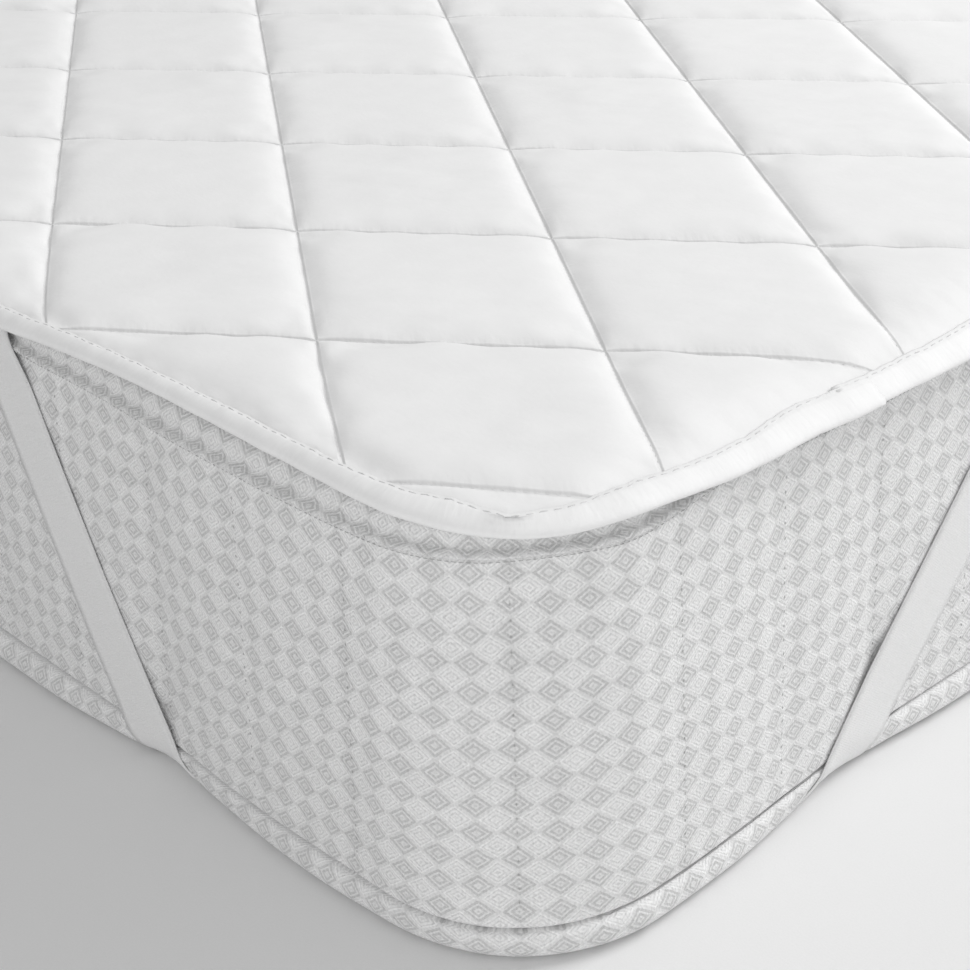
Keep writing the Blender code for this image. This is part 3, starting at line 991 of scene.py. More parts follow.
def shoulder_shift(gap, profile):
    """The shoulder follows the seam at its foot, and less and less above it."""
    rise = np.clip((profile[:, 1] - UPPER_SEAM) / (MATTRESS_TOP - UPPER_SEAM), 0, 1)
    return seam_shift(gap) * (1 - 0.5 * rise) * (profile[:, 0] > INNER_EDGE)


def shoulder_lift(gap, height):
    """The seam's rise at the shoulder's foot, and none of it at its top."""
    return seam_rise(gap) * np.clip((MATTRESS_TOP - height) / (MATTRESS_TOP - UPPER_SEAM), 0, 1)


def shoulder_relief(distance, run):
    pucker = uneven(distance, MATTRESS_ROUND, (240, 380, 610), 21)
    near_seam = np.exp(-run / SHOULDER_FADE)
    puckers = SHOULDER_PUCKER * pucker * np.clip(run / RIDGE_START, 0, 1)
    return (puckers - SHOULDER_PULL) * near_seam


shoulder = make_band(
    "mattress_shoulder_cloth", shoulder_profile(), shoulder_relief, shoulder_shift, shoulder_lift
)
close_band(shoulder)
finish_mesh(shoulder)

# %% Base
BASE_ROUND, BASE_STEPS = 0.012, 8
BASE_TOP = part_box("mattress_base_panel")[1].z
UNDERSIDE_STEPS, UNDERSIDE_STEP = 16, 0.010
# (outward reach, depth below the lower seam) of the cloth that rolls out from the seam
BASE_EDGE = ((-0.0006, 0.0), (0.0012, 0.0003), (0.0024, 0.0012), (BASE_BULGE, 0.0026))
BASE_PULL, BASE_PUCKER = 0.0006, 0.0005
BASE_PULL_PLACE, BASE_PULL_REACH = 0.007, 0.005
# The wall's shift fades out over the second length, up to the first inside the wall.
FADE_END, FADE_LENGTH = 0.030, 0.020
DENT_CLEARANCE = 0.0003
DENT_REACH = 0.009


def base_profile():
    profile = [(out, BASE_TOP - drop) for out, drop in BASE_EDGE]
    for k in range(BASE_STEPS + 1):
        angle = math.pi / 2 * k / BASE_STEPS
        out = BASE_BULGE - BASE_ROUND * (1 - math.cos(angle))
        profile.append((out, BASE_ROUND * (1 - math.sin(angle))))
    inner = profile[-1][0]
    return profile + [(inner - UNDERSIDE_STEP * (k + 1), 0.0) for k in range(UNDERSIDE_STEPS)]


def base_relief(distance, run):
    pucker = uneven(distance, MATTRESS_ROUND, (270, 420, 560), 33)
    hold = np.exp(-(((run - BASE_PULL_PLACE) / BASE_PULL_REACH) ** 2))
    return (BASE_PUCKER * pucker - BASE_PULL) * hold


def base_shift(gap, profile):
    """The base follows the wall, and its underside stays flat and in place."""
    hold = np.clip((profile[:, 0] + FADE_END) / FADE_LENGTH, 0, 1)
    return wall_shift(gap, profile[:, 1]) * hold


def base_lift(gap, height):
    """None, because the lower seam lies level all round."""
    return 0 * gap * height


def press_in(obj, sheets, reach=DENT_REACH):
    """Pushes points back where a strap lies over them."""
    points = points_of(obj)
    for sheet in sheets:
        tree = BVHTree.FromObject(sheet, bpy.context.evaluated_depsgraph_get())
        corners = points_of(sheet)
        low, high = corners.min(0) - reach, corners.max(0) + reach
        near = np.nonzero(((points > low) & (points < high)).all(1))[0]
        for index in near:
            place = Vector(points[index])
            hit, normal, _, gap = tree.find_nearest(place, 2 * reach)
            if hit is None:
                continue
            above = (place - hit).dot(normal)
            aside = math.sqrt(max(gap * gap - above * above, 0.0))
            rise = above + STRAP_THICKNESS / 2 + DENT_CLEARANCE
            if rise > 0 and aside < reach and gap < reach:
                ease = 1 - (aside / reach) ** 2
                points[index] -= np.array(normal) * rise * ease * ease
    move_points(obj, points)


base = make_band("mattress_base_cloth", base_profile(), base_relief, base_shift, base_lift)
press_in(base, [strap for strap, _ in straps])
close_band(base)
finish_mesh(base)

# %% [markdown]
# ## Quilted pad
# A pad is quilted by stitching two cloths and their filling together along crossing lines. The
# filling then pushes the cloth up between the lines, and the spare cloth wrinkles where it meets
# them. A bump in the material would draw the lines but leave the outline flat. So the grid here is
# skewed until its lines run along the stitch lines, cut to the pad's rounded outline, pinned
# along the stitches and inflated by a cloth simulation, which finds the wrinkles by itself.

# %% The lattice of stitch lines
RISING_PITCH, RISING_ANGLE = 0.1445, math.radians(36.2)
FALLING_PITCH, FALLING_ANGLE = 0.1518, math.radians(-36.0)
CROSSING = np.array([-0.330, -0.642])
# Steps of the grid along a diamond's side, and how much closer they lie near the stitches.
CELL_STEPS = 14
GRADING = 0.55
PAD_HALF_X, PAD_HALF_Y = HALF_X + PAD_OVERHANG, HALF_Y + PAD_OVERHANG
PAD_ROUND = perimeter(PAD_HALF_X, PAD_HALF_Y, PAD_RADIUS)
# The binding clamps the pad's edge flat over this width, and stitches clamp it to this thickness.
FLAT_EDGE = 0.0125
STITCHED = 0.0045


def pitch_vector(pitch, angle):
    return pitch * np.array([math.cos(angle), math.sin(angle)])


LATTICE = np.column_stack(
    [pitch_vector(FALLING_PITCH, FALLING_ANGLE), pitch_vector(RISING_PITCH, RISING_ANGLE)]
)
TO_LATTICE = np.linalg.inv(LATTICE)


def on_lattice(flat_points):
    """Places in diamonds along the two stitch directions."""
    return (flat_points - CROSSING) @ TO_LATTICE.T


def pad_depth(flat_points):
    """Distance in from the pad's outline, and the way out, at each point."""
    reach = np.array([PAD_HALF_X, PAD_HALF_Y]) - PAD_RADIUS
    sign = np.where(flat_points >= 0, 1.0, -1.0)
    over = np.abs(flat_points) - reach
    corner = (over > 0).all(1)
    far = np.maximum(np.hypot(over[:, 0], over[:, 1]), 1e-9)
    across_x = over[:, 0] > over[:, 1]
    square = np.column_stack([across_x, ~across_x]).astype(float)
    out = np.where(corner[:, None], over / far[:, None], square) * sign
    return PAD_RADIUS - np.where(corner, far, over.max(1)), out


# %% Skew and cut the grid
OUTLINE_STEPS = 16
CUT_TOLERANCE = 0.000001
MERGE_DISTANCE = 0.0006


def quilt_grid():
    corners = np.array([(sx * PAD_HALF_X, sy * PAD_HALF_Y) for sx in (1, -1) for sy in (1, -1)])
    reached = on_lattice(corners)
    low = np.floor(reached.min(0)).astype(int)
    cells = np.ceil(reached.max(0)).astype(int) - low
    start_fresh()
    steps = (cells * CELL_STEPS).tolist()
    bpy.ops.mesh.primitive_grid_add(x_subdivisions=steps[0], y_subdivisions=steps[1], size=1.0)
    pad = bpy.context.object
    pad.name = "pad_quilted"
    place = np.rint((points_of(pad)[:, :2] + 0.5) * steps) / CELL_STEPS
    whole = np.floor(place)
    within = place - whole
    graded = within - GRADING * np.sin(2 * math.pi * within) / (2 * math.pi)
    flat = (low + whole + graded) @ LATTICE.T + CROSSING
    move_points(pad, np.column_stack([flat, np.zeros(len(flat))]))
    select_points(pad, pad_depth(flat)[0] < 0)
    bpy.ops.mesh.delete(type="VERT")
    return pad


def cut_outline(depth):
    """Cuts the active grid, in edit mode, along each short side of the outline at this depth."""
    corners = np.arange(4 * (OUTLINE_STEPS + 1))
    side, step = corners // (OUTLINE_STEPS + 1), corners % (OUTLINE_STEPS + 1)
    walked = side, np.ones(len(side)), step / OUTLINE_STEPS
    edge, _ = ring(walked, PAD_HALF_X - depth, PAD_HALF_Y - depth, PAD_RADIUS - depth)
    for here, there in zip(edge, np.roll(edge, -1, axis=0)):
        run = (there - here) / np.linalg.norm(there - here)
        bpy.ops.mesh.select_all(action="SELECT")
        bpy.ops.mesh.bisect(
            plane_co=(here[0], here[1], 0),
            plane_no=(run[1], -run[0], 0),
            clear_outer=True,
            threshold=CUT_TOLERANCE,
        )
    bpy.ops.mesh.select_all(action="SELECT")
    bpy.ops.mesh.remove_doubles(threshold=MERGE_DISTANCE)
    bpy.ops.object.mode_set(mode="OBJECT")


pad = quilt_grid()
cut_outline(FLAT_EDGE)
print("cut grid:", len(pad.data.vertices), "points")

# %% Pin the stitches and inflate the cloth
STITCH_TOLERANCE = 0.0002
EDGE_TOLERANCE = 0.0008
PUFF = 0.0125
PUFF_POWER = 0.55
PUFF_REACH = 0.040
SPARE_CLOTH = 0.020
PRESSURE = 38.0
FRAMES = 14
# The inflated cloth is made steeper beside its stitches and is capped by the weight of its filling.
DIP_LIMIT = 0.0006
CROWN = 0.0064
STEEPER = 1.35


def stitched_points(points):
    place = on_lattice(points[:, :2])
    on_line = np.abs(place - np.rint(place)).min(1) < STITCH_TOLERANCE
    return on_line | (pad_depth(points[:, :2])[0] < FLAT_EDGE + EDGE_TOLERANCE)


def puffed(points):
    """A plain crown in each diamond, which the simulation starts from."""
    waves = np.abs(np.sin(math.pi * on_lattice(points[:, :2]))).prod(1)
    rise = np.clip((pad_depth(points[:, :2])[0] - FLAT_EDGE) / PUFF_REACH, 0, 1)
    return PUFF * waves**PUFF_POWER * rise * (2 - rise)


def inflate(obj, pinned, pressure, spare, frames):
    group = obj.vertex_groups.new(name="stitched")
    group.add(np.nonzero(pinned)[0].tolist(), 1.0, "REPLACE")
    cloth = obj.modifiers.new("inflate", "CLOTH")
    settings = cloth.settings
    settings.quality = 4
    settings.mass = 0.15
    settings.tension_stiffness = settings.compression_stiffness = 20
    settings.shear_stiffness = 8
    settings.bending_stiffness = 0.2
    settings.use_pressure = True
    settings.uniform_pressure_force = pressure
    settings.vertex_group_mass = group.name
    settings.shrink_min = settings.shrink_max = -spare
    settings.effector_weights.gravity = 0
    cloth.collision_settings.use_collision = False
    for frame_number in range(1, frames + 1):
        bpy.context.scene.frame_set(frame_number)
    apply_modifier(obj, "inflate")
    obj.vertex_groups.clear()


flat_points = points_of(pad)
flat_points[:, 2] = puffed(flat_points)
pinned = stitched_points(flat_points)
flat_points[pinned, 2] = 0.0
move_points(pad, flat_points)
inflate(pad, pinned, PRESSURE, SPARE_CLOTH, FRAMES)
bpy.context.scene.frame_set(1)
lifted = points_of(pad)
lifted[:, 2] = np.maximum(CROWN * np.tanh(STEEPER * lifted[:, 2] / CROWN), -DIP_LIMIT)
move_points(pad, lifted)
print("puffed by up to", round(lifted[:, 2].max() * 1000, 1), "mm")

# %% Smooth the cloth, keeping the stitch lines sharp
STITCH_CREASE = 1.0


def crease_stitches(obj, pinned):
    """Marks the edges between two stitched points, so that subdivision keeps them sharp."""
    ends = np.empty(len(obj.data.edges) * 2, int)
    obj.data.edges.foreach_get("vertices", ends)
    sharp = pinned[ends.reshape(-1, 2)].all(1) * STITCH_CREASE
    crease = obj.data.attributes.new("crease_edge", "FLOAT", "EDGE")
    crease.data.foreach_set("value", sharp.astype(np.float32))


def subdivide(obj):
    smooth = obj.modifiers.new("smooth", "SUBSURF")
    smooth.levels = smooth.render_levels = 1
    smooth.boundary_smooth = "PRESERVE_CORNERS"
    apply_modifier(obj, "smooth")


crease_stitches(pad, pinned)
subdivide(pad)
print("smoothed:", len(pad.data.vertices), "points")

# %% [markdown]
# ## The pad's rim
# The pad turns down a little over the shoulder. It was laid by hand, so its edge hangs further out
# in some places than in others, and the binding follows it. A table of distances round the
# outline holds that lie, because the simulation would need a whole mattress to rest on to find
# it. The rim is extruded from the cut edge, round inside the binding and back under.

# %% How the pad lies on the mattress
DROOP_REACH = 0.030
LIE_REACH = 0.080
FIRST_CORNER = -(PAD_HALF_Y - PAD_RADIUS + math.pi / 4 * PAD_RADIUS)
# (distance round from the first corner's middle, how far out the pad lies, width of the binding).
# The pad was laid a little to the right, so one side overhangs and the next lies back.
PAD_LIE = (
    (-0.355, 0.0040, 0.0100),
    (-0.303, -0.0021, 0.0100),
    (-0.238, -0.0048, 0.0105),
    (-0.160, -0.0022, 0.0105),
    (-0.120, -0.0006, 0.0105),
    (-0.085, 0.0006, 0.0115),
    (-0.053, 0.0014, 0.0130),
    (-0.026, 0.0052, 0.0142),
    (-0.006, 0.0090, 0.0090),
    (0.000, 0.0092, 0.0078),
    (0.026, 0.0113, 0.0100),
    (0.055, 0.0074, 0.0124),
    (0.074, 0.0096, 0.0115),
    (0.101, 0.0158, 0.0095),
    (0.132, 0.0193, 0.0102),
    (0.171, 0.0183, 0.0125),
    (0.222, 0.0208, 0.0102),
    (0.285, 0.0240, 0.0105),
    (0.600, 0.0160, 0.0140),
    (1.000, 0.0120, 0.0130),
    (1.500, 0.0160, 0.0130),
    (1.860, 0.0130, 0.0140),
    (1.969, 0.0110, 0.0080),
    (2.050, 0.0130, 0.0135),
    (2.450, 0.0160, 0.0130),
    (2.840, 0.0110, 0.0140),
    (2.938, 0.0080, 0.0080),
    (3.030, 0.0020, 0.0125),
    (3.500, -0.0020, 0.0120),
    (4.000, 0.0010, 0.0125),
    (4.500, -0.0030, 0.0120),
    (4.820, 0.0020, 0.0135),
    (4.908, 0.0060, 0.0080),
    (4.990, 0.0020, 0.0130),
    (5.200, -0.0010, 0.0115),
    (5.400, 0.0010, 0.0105),
    (5.522, 0.0040, 0.0100),
)
OUT_SHARE, OUT_START = 0.55, -0.0042
DROP_SHARE, DROP_START = 0.35, 0.0011
# (depth from the rim, height above the underside) round the edge inside the binding
RIM = ((0.0060, 0.0038), (0.0023, 0.0030), (0.0003, 0.0016), (0.0023, 0.0002), (0.0100, 0.0002),
       (0.0180, 0.0))
LIE_START, LIE_END = PAD_LIE[0][0], PAD_LIE[-1][0]
LIE_PLACES, (LIE_OUT, _) = eased_table(PAD_LIE, LIE_START, LIE_END)


def round_place(flat_points):
    """Distance round the pad's outline of each point's nearest place, from the +X side's middle."""
    reach = np.array([PAD_HALF_X, PAD_HALF_Y]) - PAD_RADIUS
    over = np.abs(flat_points) - reach
    right, head = flat_points[:, 0] >= 0, flat_points[:, 1] >= 0
    turn = math.pi / 2 * PAD_RADIUS
    on_turn = (over > 0).all(1)
    from_x_axis = np.arctan2(np.maximum(over[:, 1], 0), np.maximum(over[:, 0], 1e-9))
    along_long = np.where(on_turn, reach[1] + from_x_axis * PAD_RADIUS, np.abs(flat_points[:, 1]))
    along_short = reach[1] + turn + reach[0] - np.abs(flat_points[:, 0])
    on_long = on_turn | (over[:, 0] > over[:, 1])
    quarter = np.where(on_long, along_long, along_short)
    half = PAD_ROUND / 2
    return np.where(right, np.where(head, quarter, -quarter),
                    np.where(head, half - quarter, quarter - half))


def lie_place(distance):
    """Distance from the first corner, as the table counts it, of one from the +X side's middle."""
    return np.mod(distance - FIRST_CORNER - LIE_START, PAD_ROUND) + LIE_START


def lie_at(distance):
    """How far out the pad lies at these distances round, from the middle of the +X side."""
    return np.interp(lie_place(distance), LIE_PLACES, LIE_OUT)


def binding_width(distance):
    table = np.array(PAD_LIE)
    return np.interp(lie_place(distance), table[:, 0], table[:, 2])


def underside(depth, distance):
    """Height of the pad's underside at this depth from the rim."""
    turned = np.clip(1 - np.maximum(depth, 0) / DROOP_REACH, 0, 1)
    return PAD_UNDERSIDE - (DROP_START + DROP_SHARE * lie_at(distance)) * turned**2


def lie_shift(depth, distance):
    """How far the rim is carried outwards."""
    hold = np.clip(1 - np.maximum(depth, 0) / LIE_REACH, 0, 1)
    return (OUT_START + OUT_SHARE * lie_at(distance)) * hold**2


# %% Make the rim and lay the pad
def move_edge(obj, depth, height):
    """Moves the selected points to this depth and height, in object mode, and back to edit mode."""
    bpy.ops.object.mode_set(mode="OBJECT")
    chosen = np.empty(len(obj.data.vertices), bool)
    obj.data.vertices.foreach_get("select", chosen)
    points = points_of(obj)
    start, out = pad_depth(points[chosen, :2])
    points[chosen, :2] += out * (start - depth)[:, None]
    points[chosen, 2] = height - STITCHED
    move_points(obj, points)
    bpy.ops.object.mode_set(mode="EDIT")


def extrude_rim(obj):
    """Extrudes the open edge through the rim's stops, and closes the underside."""
    only(obj)
    bpy.ops.object.mode_set(mode="EDIT")
    bpy.ops.mesh.select_mode(type="EDGE")
    bpy.ops.mesh.select_all(action="DESELECT")
    bpy.ops.mesh.select_non_manifold(extend=False)
    move_edge(obj, FLAT_EDGE, STITCHED)
    for depth, height in RIM:
        bpy.ops.mesh.extrude_edges_move()
        move_edge(obj, depth, height)
    bpy.ops.mesh.edge_face_add()
    bpy.ops.object.mode_set(mode="OBJECT")


def settle_pad(obj):
    """Lays the flat pad on the mattress: turned down at the rim, and carried out or in."""
    points = points_of(obj)
    depth, out = pad_depth(points[:, :2])
    distance = round_place(points[:, :2])
    points[:, 2] += underside(depth, distance) + STITCHED
    points[:, :2] += out * lie_shift(depth, distance)[:, None]
    move_points(obj, points)


def lattice_map(obj):
    """A UV map that counts diamonds, so that puckers can follow the stitch lines."""
    place = on_lattice(points_of(obj)[:, :2])
    obj.data.uv_layers.active.data.foreach_set("uv", loop_values(obj, place.T))


extrude_rim(pad)
lattice_map(pad)
settle_pad(pad)
finish_mesh(pad)

# %% [markdown]
# ## Binding
# The binding is one long strip, folded over the pad's rim and sewn through at its inner edge, which
# is turned under. A bevelled edge of the pad would look like piping, without a fold or an end. So
# the strip has a section of its own, a list of stops by depth from the rim and height above the
# pad's underside. The visible leg narrows into a mitre at each corner, and the ends lap on one side.

# %% Shape the binding
LAP_PLACE = -0.763
LAP = 0.022
LAP_LIFT = 0.0014
BINDING_STATIONS = 1300
BINDING_CLOTH = 0.0006
LEG_SWING, RIPPLE, RIM_SWELL = 0.0005, 0.00035, 0.0005
# Share of the swell that goes upwards, and of the lap's lift that settles downwards.
SWELL_UP, LIFT_DOWN = 0.4, 0.3
# (share of the leg's width, depth added to it, height), from the turned-under edge on top, over
# the fold and the rim, to the lower leg
BINDING_SECTION = (
    (1.0, -0.0042, 0.0043),
    (1.0, -0.0012, 0.0046),
    (1.0, 0.0000, 0.0049),
    (1.0, 0.0001, 0.0054),
    (1.0, -0.0008, 0.0060),
    (1.0, -0.0019, 0.0056),
    (1.0, -0.0032, 0.0061),
    (0.62, 0.0, 0.0060),
    (0.35, 0.0, 0.0054),
    (0.0, 0.0022, 0.0047),
    (0.0, 0.0007, 0.0040),
    (0.0, -0.0005, 0.0029),
    (0.0, -0.0011, 0.0017),
    (0.0, -0.0010, 0.0005),
    (0.0, -0.0003, -0.0005),
    (0.0, 0.0010, -0.0011),
    (0.0, 0.0030, -0.0012),
    (0.0, 0.0065, -0.0012),
    (0.0, 0.0100, -0.0011),
)
STITCH_LINE = 5


def binding_point(distance, share, added, height, lift=0.0):
    """Points of the binding at these distances round. lift raises the upper layer of the lap."""
    walked = walk(distance, PAD_HALF_X, PAD_HALF_Y, PAD_RADIUS)
    leg = binding_width(distance) + LEG_SWING * uneven(distance, PAD_ROUND, (47, 130, 210), 40)
    depth = share * leg + added
    flat, out = ring(walked, PAD_HALF_X - depth, PAD_HALF_Y - depth, PAD_RADIUS - depth)
    ripple = RIPPLE * uneven(distance, PAD_ROUND, (310, 430, 560), 41)
    swell = RIM_SWELL * uneven(distance, PAD_ROUND, (70, 120, 190), 42)
    shift = lie_shift(depth, distance) + swell + lift
    rise = (ripple * (share > 0) + SWELL_UP * swell) - lift * LIFT_DOWN
    return np.column_stack([flat + out * shift[:, None], underside(depth, distance) + height + rise])


def make_binding():
    section = np.array(BINDING_SECTION)
    binding, along, across = flat_strip("binding_strip", BINDING_STATIONS, len(section) - 1)
    row = np.rint(across * (len(section) - 1)).astype(int)
    length = PAD_ROUND + LAP
    distance = LAP_PLACE - LAP + along * length
    to_end = (1 - along) * length
    lift = LAP_LIFT * np.clip(2 - to_end / LAP, 0, 1) ** 0.5
    share, added, height = section[row].T
    move_points(binding, binding_point(distance, share, added, height, lift))
    mean_leg = binding_width(distance).mean()
    depth, height = (section[:, 0] * mean_leg + section[:, 1]), section[:, 2]
    run = np.concatenate([[0.0], np.cumsum(np.hypot(np.diff(depth), np.diff(height)))])
    stretch_map(binding, length, run[-1])
    print("binding:", round(length, 3), "x", round(run[-1], 4), "m")
    return binding, run[-1], length


binding, BINDING_WIDTH, BINDING_LENGTH = make_binding()
highest = max(binding.data.polygons, key=lambda face: face.center.z)
if highest.normal.z < 0:
    binding.data.flip_normals()
cloth = binding.modifiers.new("cloth", "SOLIDIFY")
cloth.thickness = BINDING_CLOTH
cloth.offset = -1
apply_modifier(binding, "cloth")
finish_mesh(binding, closed=False)

# %% Give the straps their thickness
for strap, _ in straps:
    band = strap.modifiers.new("band", "SOLIDIFY")
    band.thickness = STRAP_THICKNESS
    band.offset = 0
    apply_modifier(strap, "band")
    finish_mesh(strap, closed=False)

# %% [markdown]
# ## Stitches
# Each stitch shows as a short thread that comes up through the cloth and goes down again. One long
# curve along each seam would look like a cord, so one stitch is modelled once, with both ends
# dipping. Every seam is then a run of copies, joined in one mesh, each laid along its line with
# its back up.

# %% Model one stitch
THREAD = 0.00042
STITCH_LENGTH = 0.0034
# Share of the stitch that lies straight, share of the thread that is left at its tips, and how
# many threads deep the tips dip.
STITCH_STRAIGHT, STITCH_TIP, STITCH_DIP = 0.55, 0.3, 0.8


def model_stitch():
    """A stitch along +X, lying on z = 0, as points and faces."""
    start_fresh()
    bpy.ops.mesh.primitive_cylinder_add(
        vertices=5, radius=THREAD / 2, depth=STITCH_LENGTH * STITCH_STRAIGHT, end_fill_type="NOTHING"
    )
    stitch = bpy.context.object
    bpy.ops.object.mode_set(mode="EDIT")
    bpy.ops.mesh.select_all(action="SELECT")
    bpy.ops.transform.rotate(value=math.pi / 2, orient_axis="Y", center_override=(0, 0, 0))
    bpy.ops.mesh.select_all(action="DESELECT")
    bpy.ops.mesh.select_non_manifold(extend=False)
    bpy.ops.mesh.extrude_edges_move()
    bpy.ops.object.mode_set(mode="OBJECT")
    points = points_of(stitch)
    chosen = np.empty(len(points), bool)
    stitch.data.vertices.foreach_get("select", chosen)
    points[chosen, 0] = np.sign(points[chosen, 0]) * STITCH_LENGTH / 2
    points[chosen, 1] *= STITCH_TIP
    points[chosen, 2] = points[chosen, 2] * STITCH_TIP - THREAD * STITCH_DIP
    move_points(stitch, points)
    finish_mesh(stitch)
    faces = [tuple(p.vertices) for p in stitch.data.polygons]
    bpy.data.objects.remove(stitch)
    return points, faces


STITCH_POINTS, STITCH_FACES = model_stitch()
print("one stitch has", len(STITCH_FACES), "faces")


def sew(name, places, ways, ups, scale=1.0):
    """A run of stitches at these places. ways is along the seam and ups is out of the cloth."""
    ways = ways / np.linalg.norm(ways, axis=1)[:, None]
    sides = np.cross(ups, ways)
    sides /= np.linalg.norm(sides, axis=1)[:, None]
    ups = np.cross(ways, sides)
    axes = np.stack([ways, sides, ups], axis=1) * scale
    points = np.einsum("pk,nkj->npj", STITCH_POINTS, axes) + places[:, None, :]
    faces = np.array(STITCH_FACES)[None] + (np.arange(len(places)) * len(STITCH_POINTS))[:, None, None]
    mesh = bpy.data.meshes.new(name)
    mesh.from_pydata(points.reshape(-1, 3).tolist(), [], faces.reshape(-1, 4).tolist())
    run = bpy.data.objects.new(name, mesh)
    bpy.context.scene.collection.objects.link(run)
    mesh.shade_smooth()
    print(f"{name}: {len(places)} stitches, {2 * len(mesh.polygons)} triangles")
    return run


# %% Sew the quilting lines
QUILT_STITCH_STEP = 0.0046
THREAD_SINK = 0.0001


def quilting_places():
    places, ways = [], []
    corners = np.array([(sx * PAD_HALF_X, sy * PAD_HALF_Y) for sx in (1, -1) for sy in (1, -1)])
    reached = on_lattice(corners)
    low, high = np.floor(reached.min(0)), np.ceil(reached.max(0))
    for axis, pitch in ((0, FALLING_PITCH), (1, RISING_PITCH)):
        count = int((high - low)[axis] * pitch / QUILT_STITCH_STEP)
        along = np.linspace(low[axis], high[axis], count)
        for line in np.arange(low[1 - axis], high[1 - axis] + 1):
            place = np.full((count, 2), line)
            place[:, axis] = along
            flat = place @ LATTICE.T + CROSSING
            inside = pad_depth(flat)[0] > FLAT_EDGE + STITCH_LENGTH
            places.append(flat[inside])
            ways.append(np.tile(LATTICE[:, axis], (inside.sum(), 1)))
    return np.concatenate(places), np.concatenate(ways)


flat, ways = quilting_places()
depth, out = pad_depth(flat)
distance = round_place(flat)
shift = lie_shift(depth, distance)
height = underside(depth, distance) + STITCHED + THREAD / 2 - THREAD_SINK
quilting = sew(
    "quilting_stitches",
    np.column_stack([flat + out * shift[:, None], height]),
    np.column_stack([ways, np.zeros(len(ways))]),
    np.tile([0.0, 0.0, 1.0], (len(ways), 1)),
    scale=0.7,
)

# %% Sew the binding
BINDING_STITCH_STEP = 0.0066
# A seam's direction is taken from two points this far before and after each stitch.
LOOK_ASIDE = 0.001


def binding_stitches():
    share, added, height = BINDING_SECTION[STITCH_LINE]
    count = round(PAD_ROUND / BINDING_STITCH_STEP)
    distance = LAP_PLACE + np.arange(count) * PAD_ROUND / count
    ones = np.ones(count)
    height = height + THREAD / 2 - THREAD_SINK
    here = binding_point(distance - LOOK_ASIDE, share * ones, added * ones, height)
    there = binding_point(distance + LOOK_ASIDE, share * ones, added * ones, height)
    return (here + there) / 2, there - here


places, ways = binding_stitches()
ups = np.tile([0.0, 0.0, 1.0], (len(ways), 1))
topstitch = sew("binding_stitches", places, ways, ups, scale=1.5)

# %% Sew the border's seam, its rolled edge and its upright rows
SEAM_STITCH_STEP = 0.0034
SEAM_STITCH_DROP = 0.0014
ZIGZAG_LEAN = 0.8


def border_point(distance, height):
    points, out = border_surface(distance, height)
    return points, np.column_stack([out, np.zeros(len(out))])


def seam_stitches():
    count = round(MATTRESS_ROUND / SEAM_STITCH_STEP)
    distance = np.arange(count) * MATTRESS_ROUND / count
    height = np.full(count, TALL - SEAM_STITCH_DROP)
    here, out = border_point(distance - LOOK_ASIDE, height)
    there, _ = border_point(distance + LOOK_ASIDE, height)
    return (here + there) / 2 + out * (THREAD / 2 - THREAD_SINK), there - here, out


def zigzag_stitches():
    """Slanted threads over the rolled edge above the seam, leaning one way and then the other."""
    count = 2 * round(MATTRESS_ROUND / SEAM_STITCH_STEP / 2)
    distance = np.arange(count) * MATTRESS_ROUND / count
    grow = RIDGE_OUT + seam_shift(from_corner(distance)) + THREAD / 2
    points, out = ring(walk(distance), HALF_X + grow, HALF_Y + grow, CORNER_RADIUS + grow)
    flat_out = np.column_stack([out, np.zeros(count)])
    onward = np.cross([0.0, 0.0, 1.0], flat_out)
    lean = np.where(np.arange(count) % 2 == 0, ZIGZAG_LEAN, -ZIGZAG_LEAN)
    ways = onward + lean[:, None] * np.array([0.0, 0.0, 1.0])
    level = SHOULDER_FOOT + RIDGE_RISE
    level = level + shoulder_lift(from_corner(distance), np.full(count, level))
    return np.column_stack([points, level]), ways, flat_out


def row_stitches():
    level = np.arange(2, int(TALL / ROW_STITCH_STEP)) * ROW_STITCH_STEP
    distance, height = (a.ravel() for a in np.meshgrid(ROWS, level, indexing="ij"))
    place, out = border_point(distance, height)
    upright = np.tile([0.0, 0.0, 1.0], (len(place), 1))
    return place + out * (THREAD / 2 - THREAD_SINK), upright, out


seam_run = sew("border_seam_stitches", *seam_stitches(), scale=0.7)
zigzag_run = sew("seam_zigzag", *zigzag_stitches(), scale=0.9)
row_run = sew("border_row_stitches", *row_stitches(), scale=0.6)

# %% [markdown]
# ## Finishes, and what each piece stands for
# Each piece takes its material, rides on the one body, and hides the solid it replaces. The
# stitches ride on the same body and replace nothing.

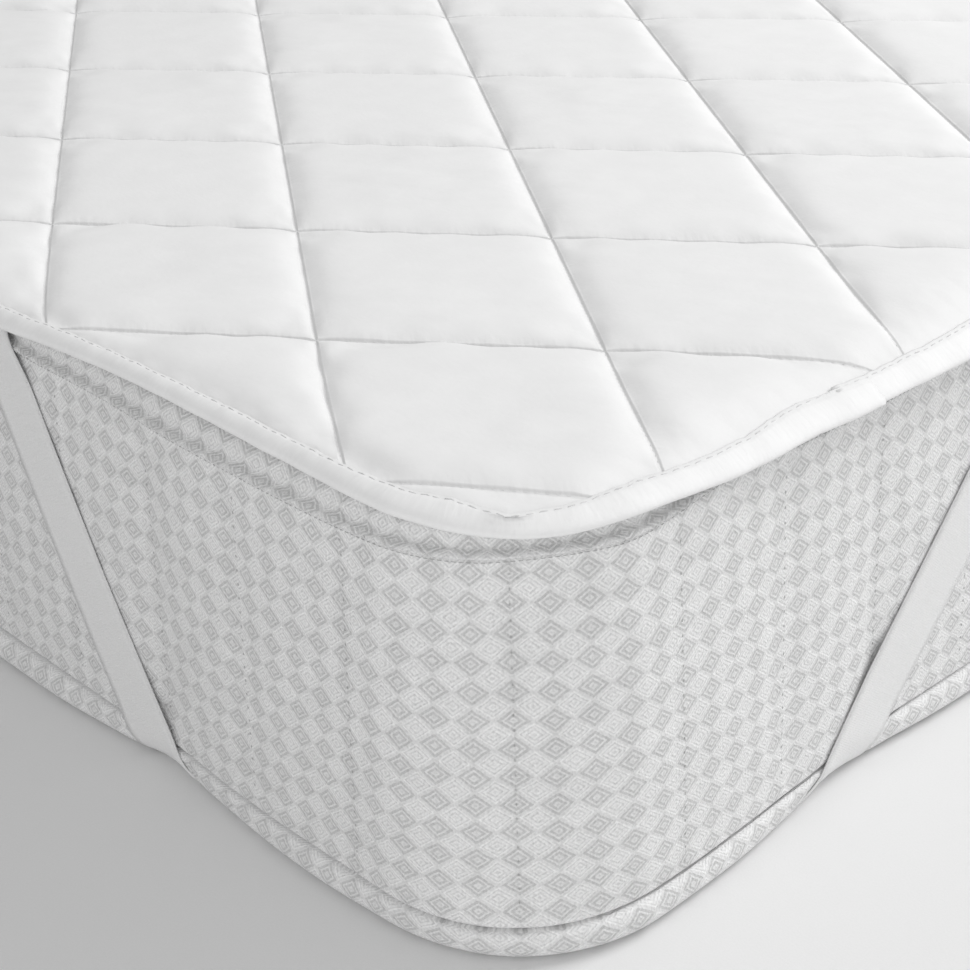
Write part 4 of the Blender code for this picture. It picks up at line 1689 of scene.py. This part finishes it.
# %% Dress the pieces
DRESS = [
    (pad, COTTON, "white_cotton", "topper_pad"),
    (binding, BIAS, "bias_cotton", "edge_binding"),
    (border, BORDER_TICKING, "ticking", "mattress_border"),
    (shoulder, TICKING, "ticking", "mattress_top_panel"),
    (base, TICKING, "ticking", "mattress_base_panel"),
    (quilting, WHITE_THREAD, "white_cotton", None),
    (topstitch, THREAD_WITH_PAINTED_SHADE, "bias_cotton", None),
    (seam_run, GREY_THREAD, "ticking", None),
    (zigzag_run, WHITE_THREAD, "ticking", None),
    (row_run, GREY_THREAD, "ticking", None),
]
DRESS += [(strap, ELASTIC, "woven_elastic", node) for strap, node in straps]
for piece, material, slot, node in DRESS:
    piece.data.materials.clear()
    piece.data.materials.append(material)
    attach(piece, "root")
    if node:
        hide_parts(node)
print(len(DRESS), "pieces dressed")

# %% [markdown]
# ## Floor and light
# A plain pale floor and soft light all round would leave white cloth without any shade. So one
# large soft light stands high at the far side and brings out the quilting, and a weaker one in
# front keeps the border from turning too dark.

# %% Floor and lights
FLOOR_SIZE = 14.0
SKY_STRENGTH = 0.505
# (place, where it points, size, power in watts)
SOFT_LIGHTS = (
    ((1.4, 1.6, 2.2), (0.2, -0.7, 0.2), 1.6, 70.0),
    ((1.6, -2.6, 0.9), (0.4, -0.9, 0.1), 1.4, 11.7),
)


def add_floor():
    start_fresh()
    bpy.ops.mesh.primitive_plane_add(size=FLOOR_SIZE)
    floor = bpy.context.object
    floor.name = "floor"
    nodes = Nodes("pale_floor")
    speck = nodes.noise(nodes.mapped("Object", (1.0, 1.0, 1.0)), 900.0, 2.0)
    colour = nodes.ramp(speck, ((0.3, 0.80), (0.7, 0.82)))
    floor.data.materials.append(nodes.surface(colour, 0.9, nodes.bump(speck, 0.0002, 0.2)))


def add_area_light(place, target, size, power):
    start_fresh()
    bpy.ops.object.light_add(type="AREA", location=place)
    light = bpy.context.object
    light.rotation_euler = (Vector(target) - light.location).to_track_quat("-Z", "Y").to_euler()
    light.data.size = size
    light.data.energy = power


def add_sky(strength):
    world = bpy.context.scene.world or bpy.data.worlds.new("soft_light")
    bpy.context.scene.world = world
    world.use_nodes = True
    sky = world.node_tree.nodes["Background"]
    sky.inputs["Color"].default_value = grey(1.0)
    sky.inputs["Strength"].default_value = strength


add_floor()
add_sky(SKY_STRENGTH)
for place, target, size, power in SOFT_LIGHTS:
    add_area_light(place, target, size, power)
bpy.context.scene.view_settings.view_transform = "Standard"
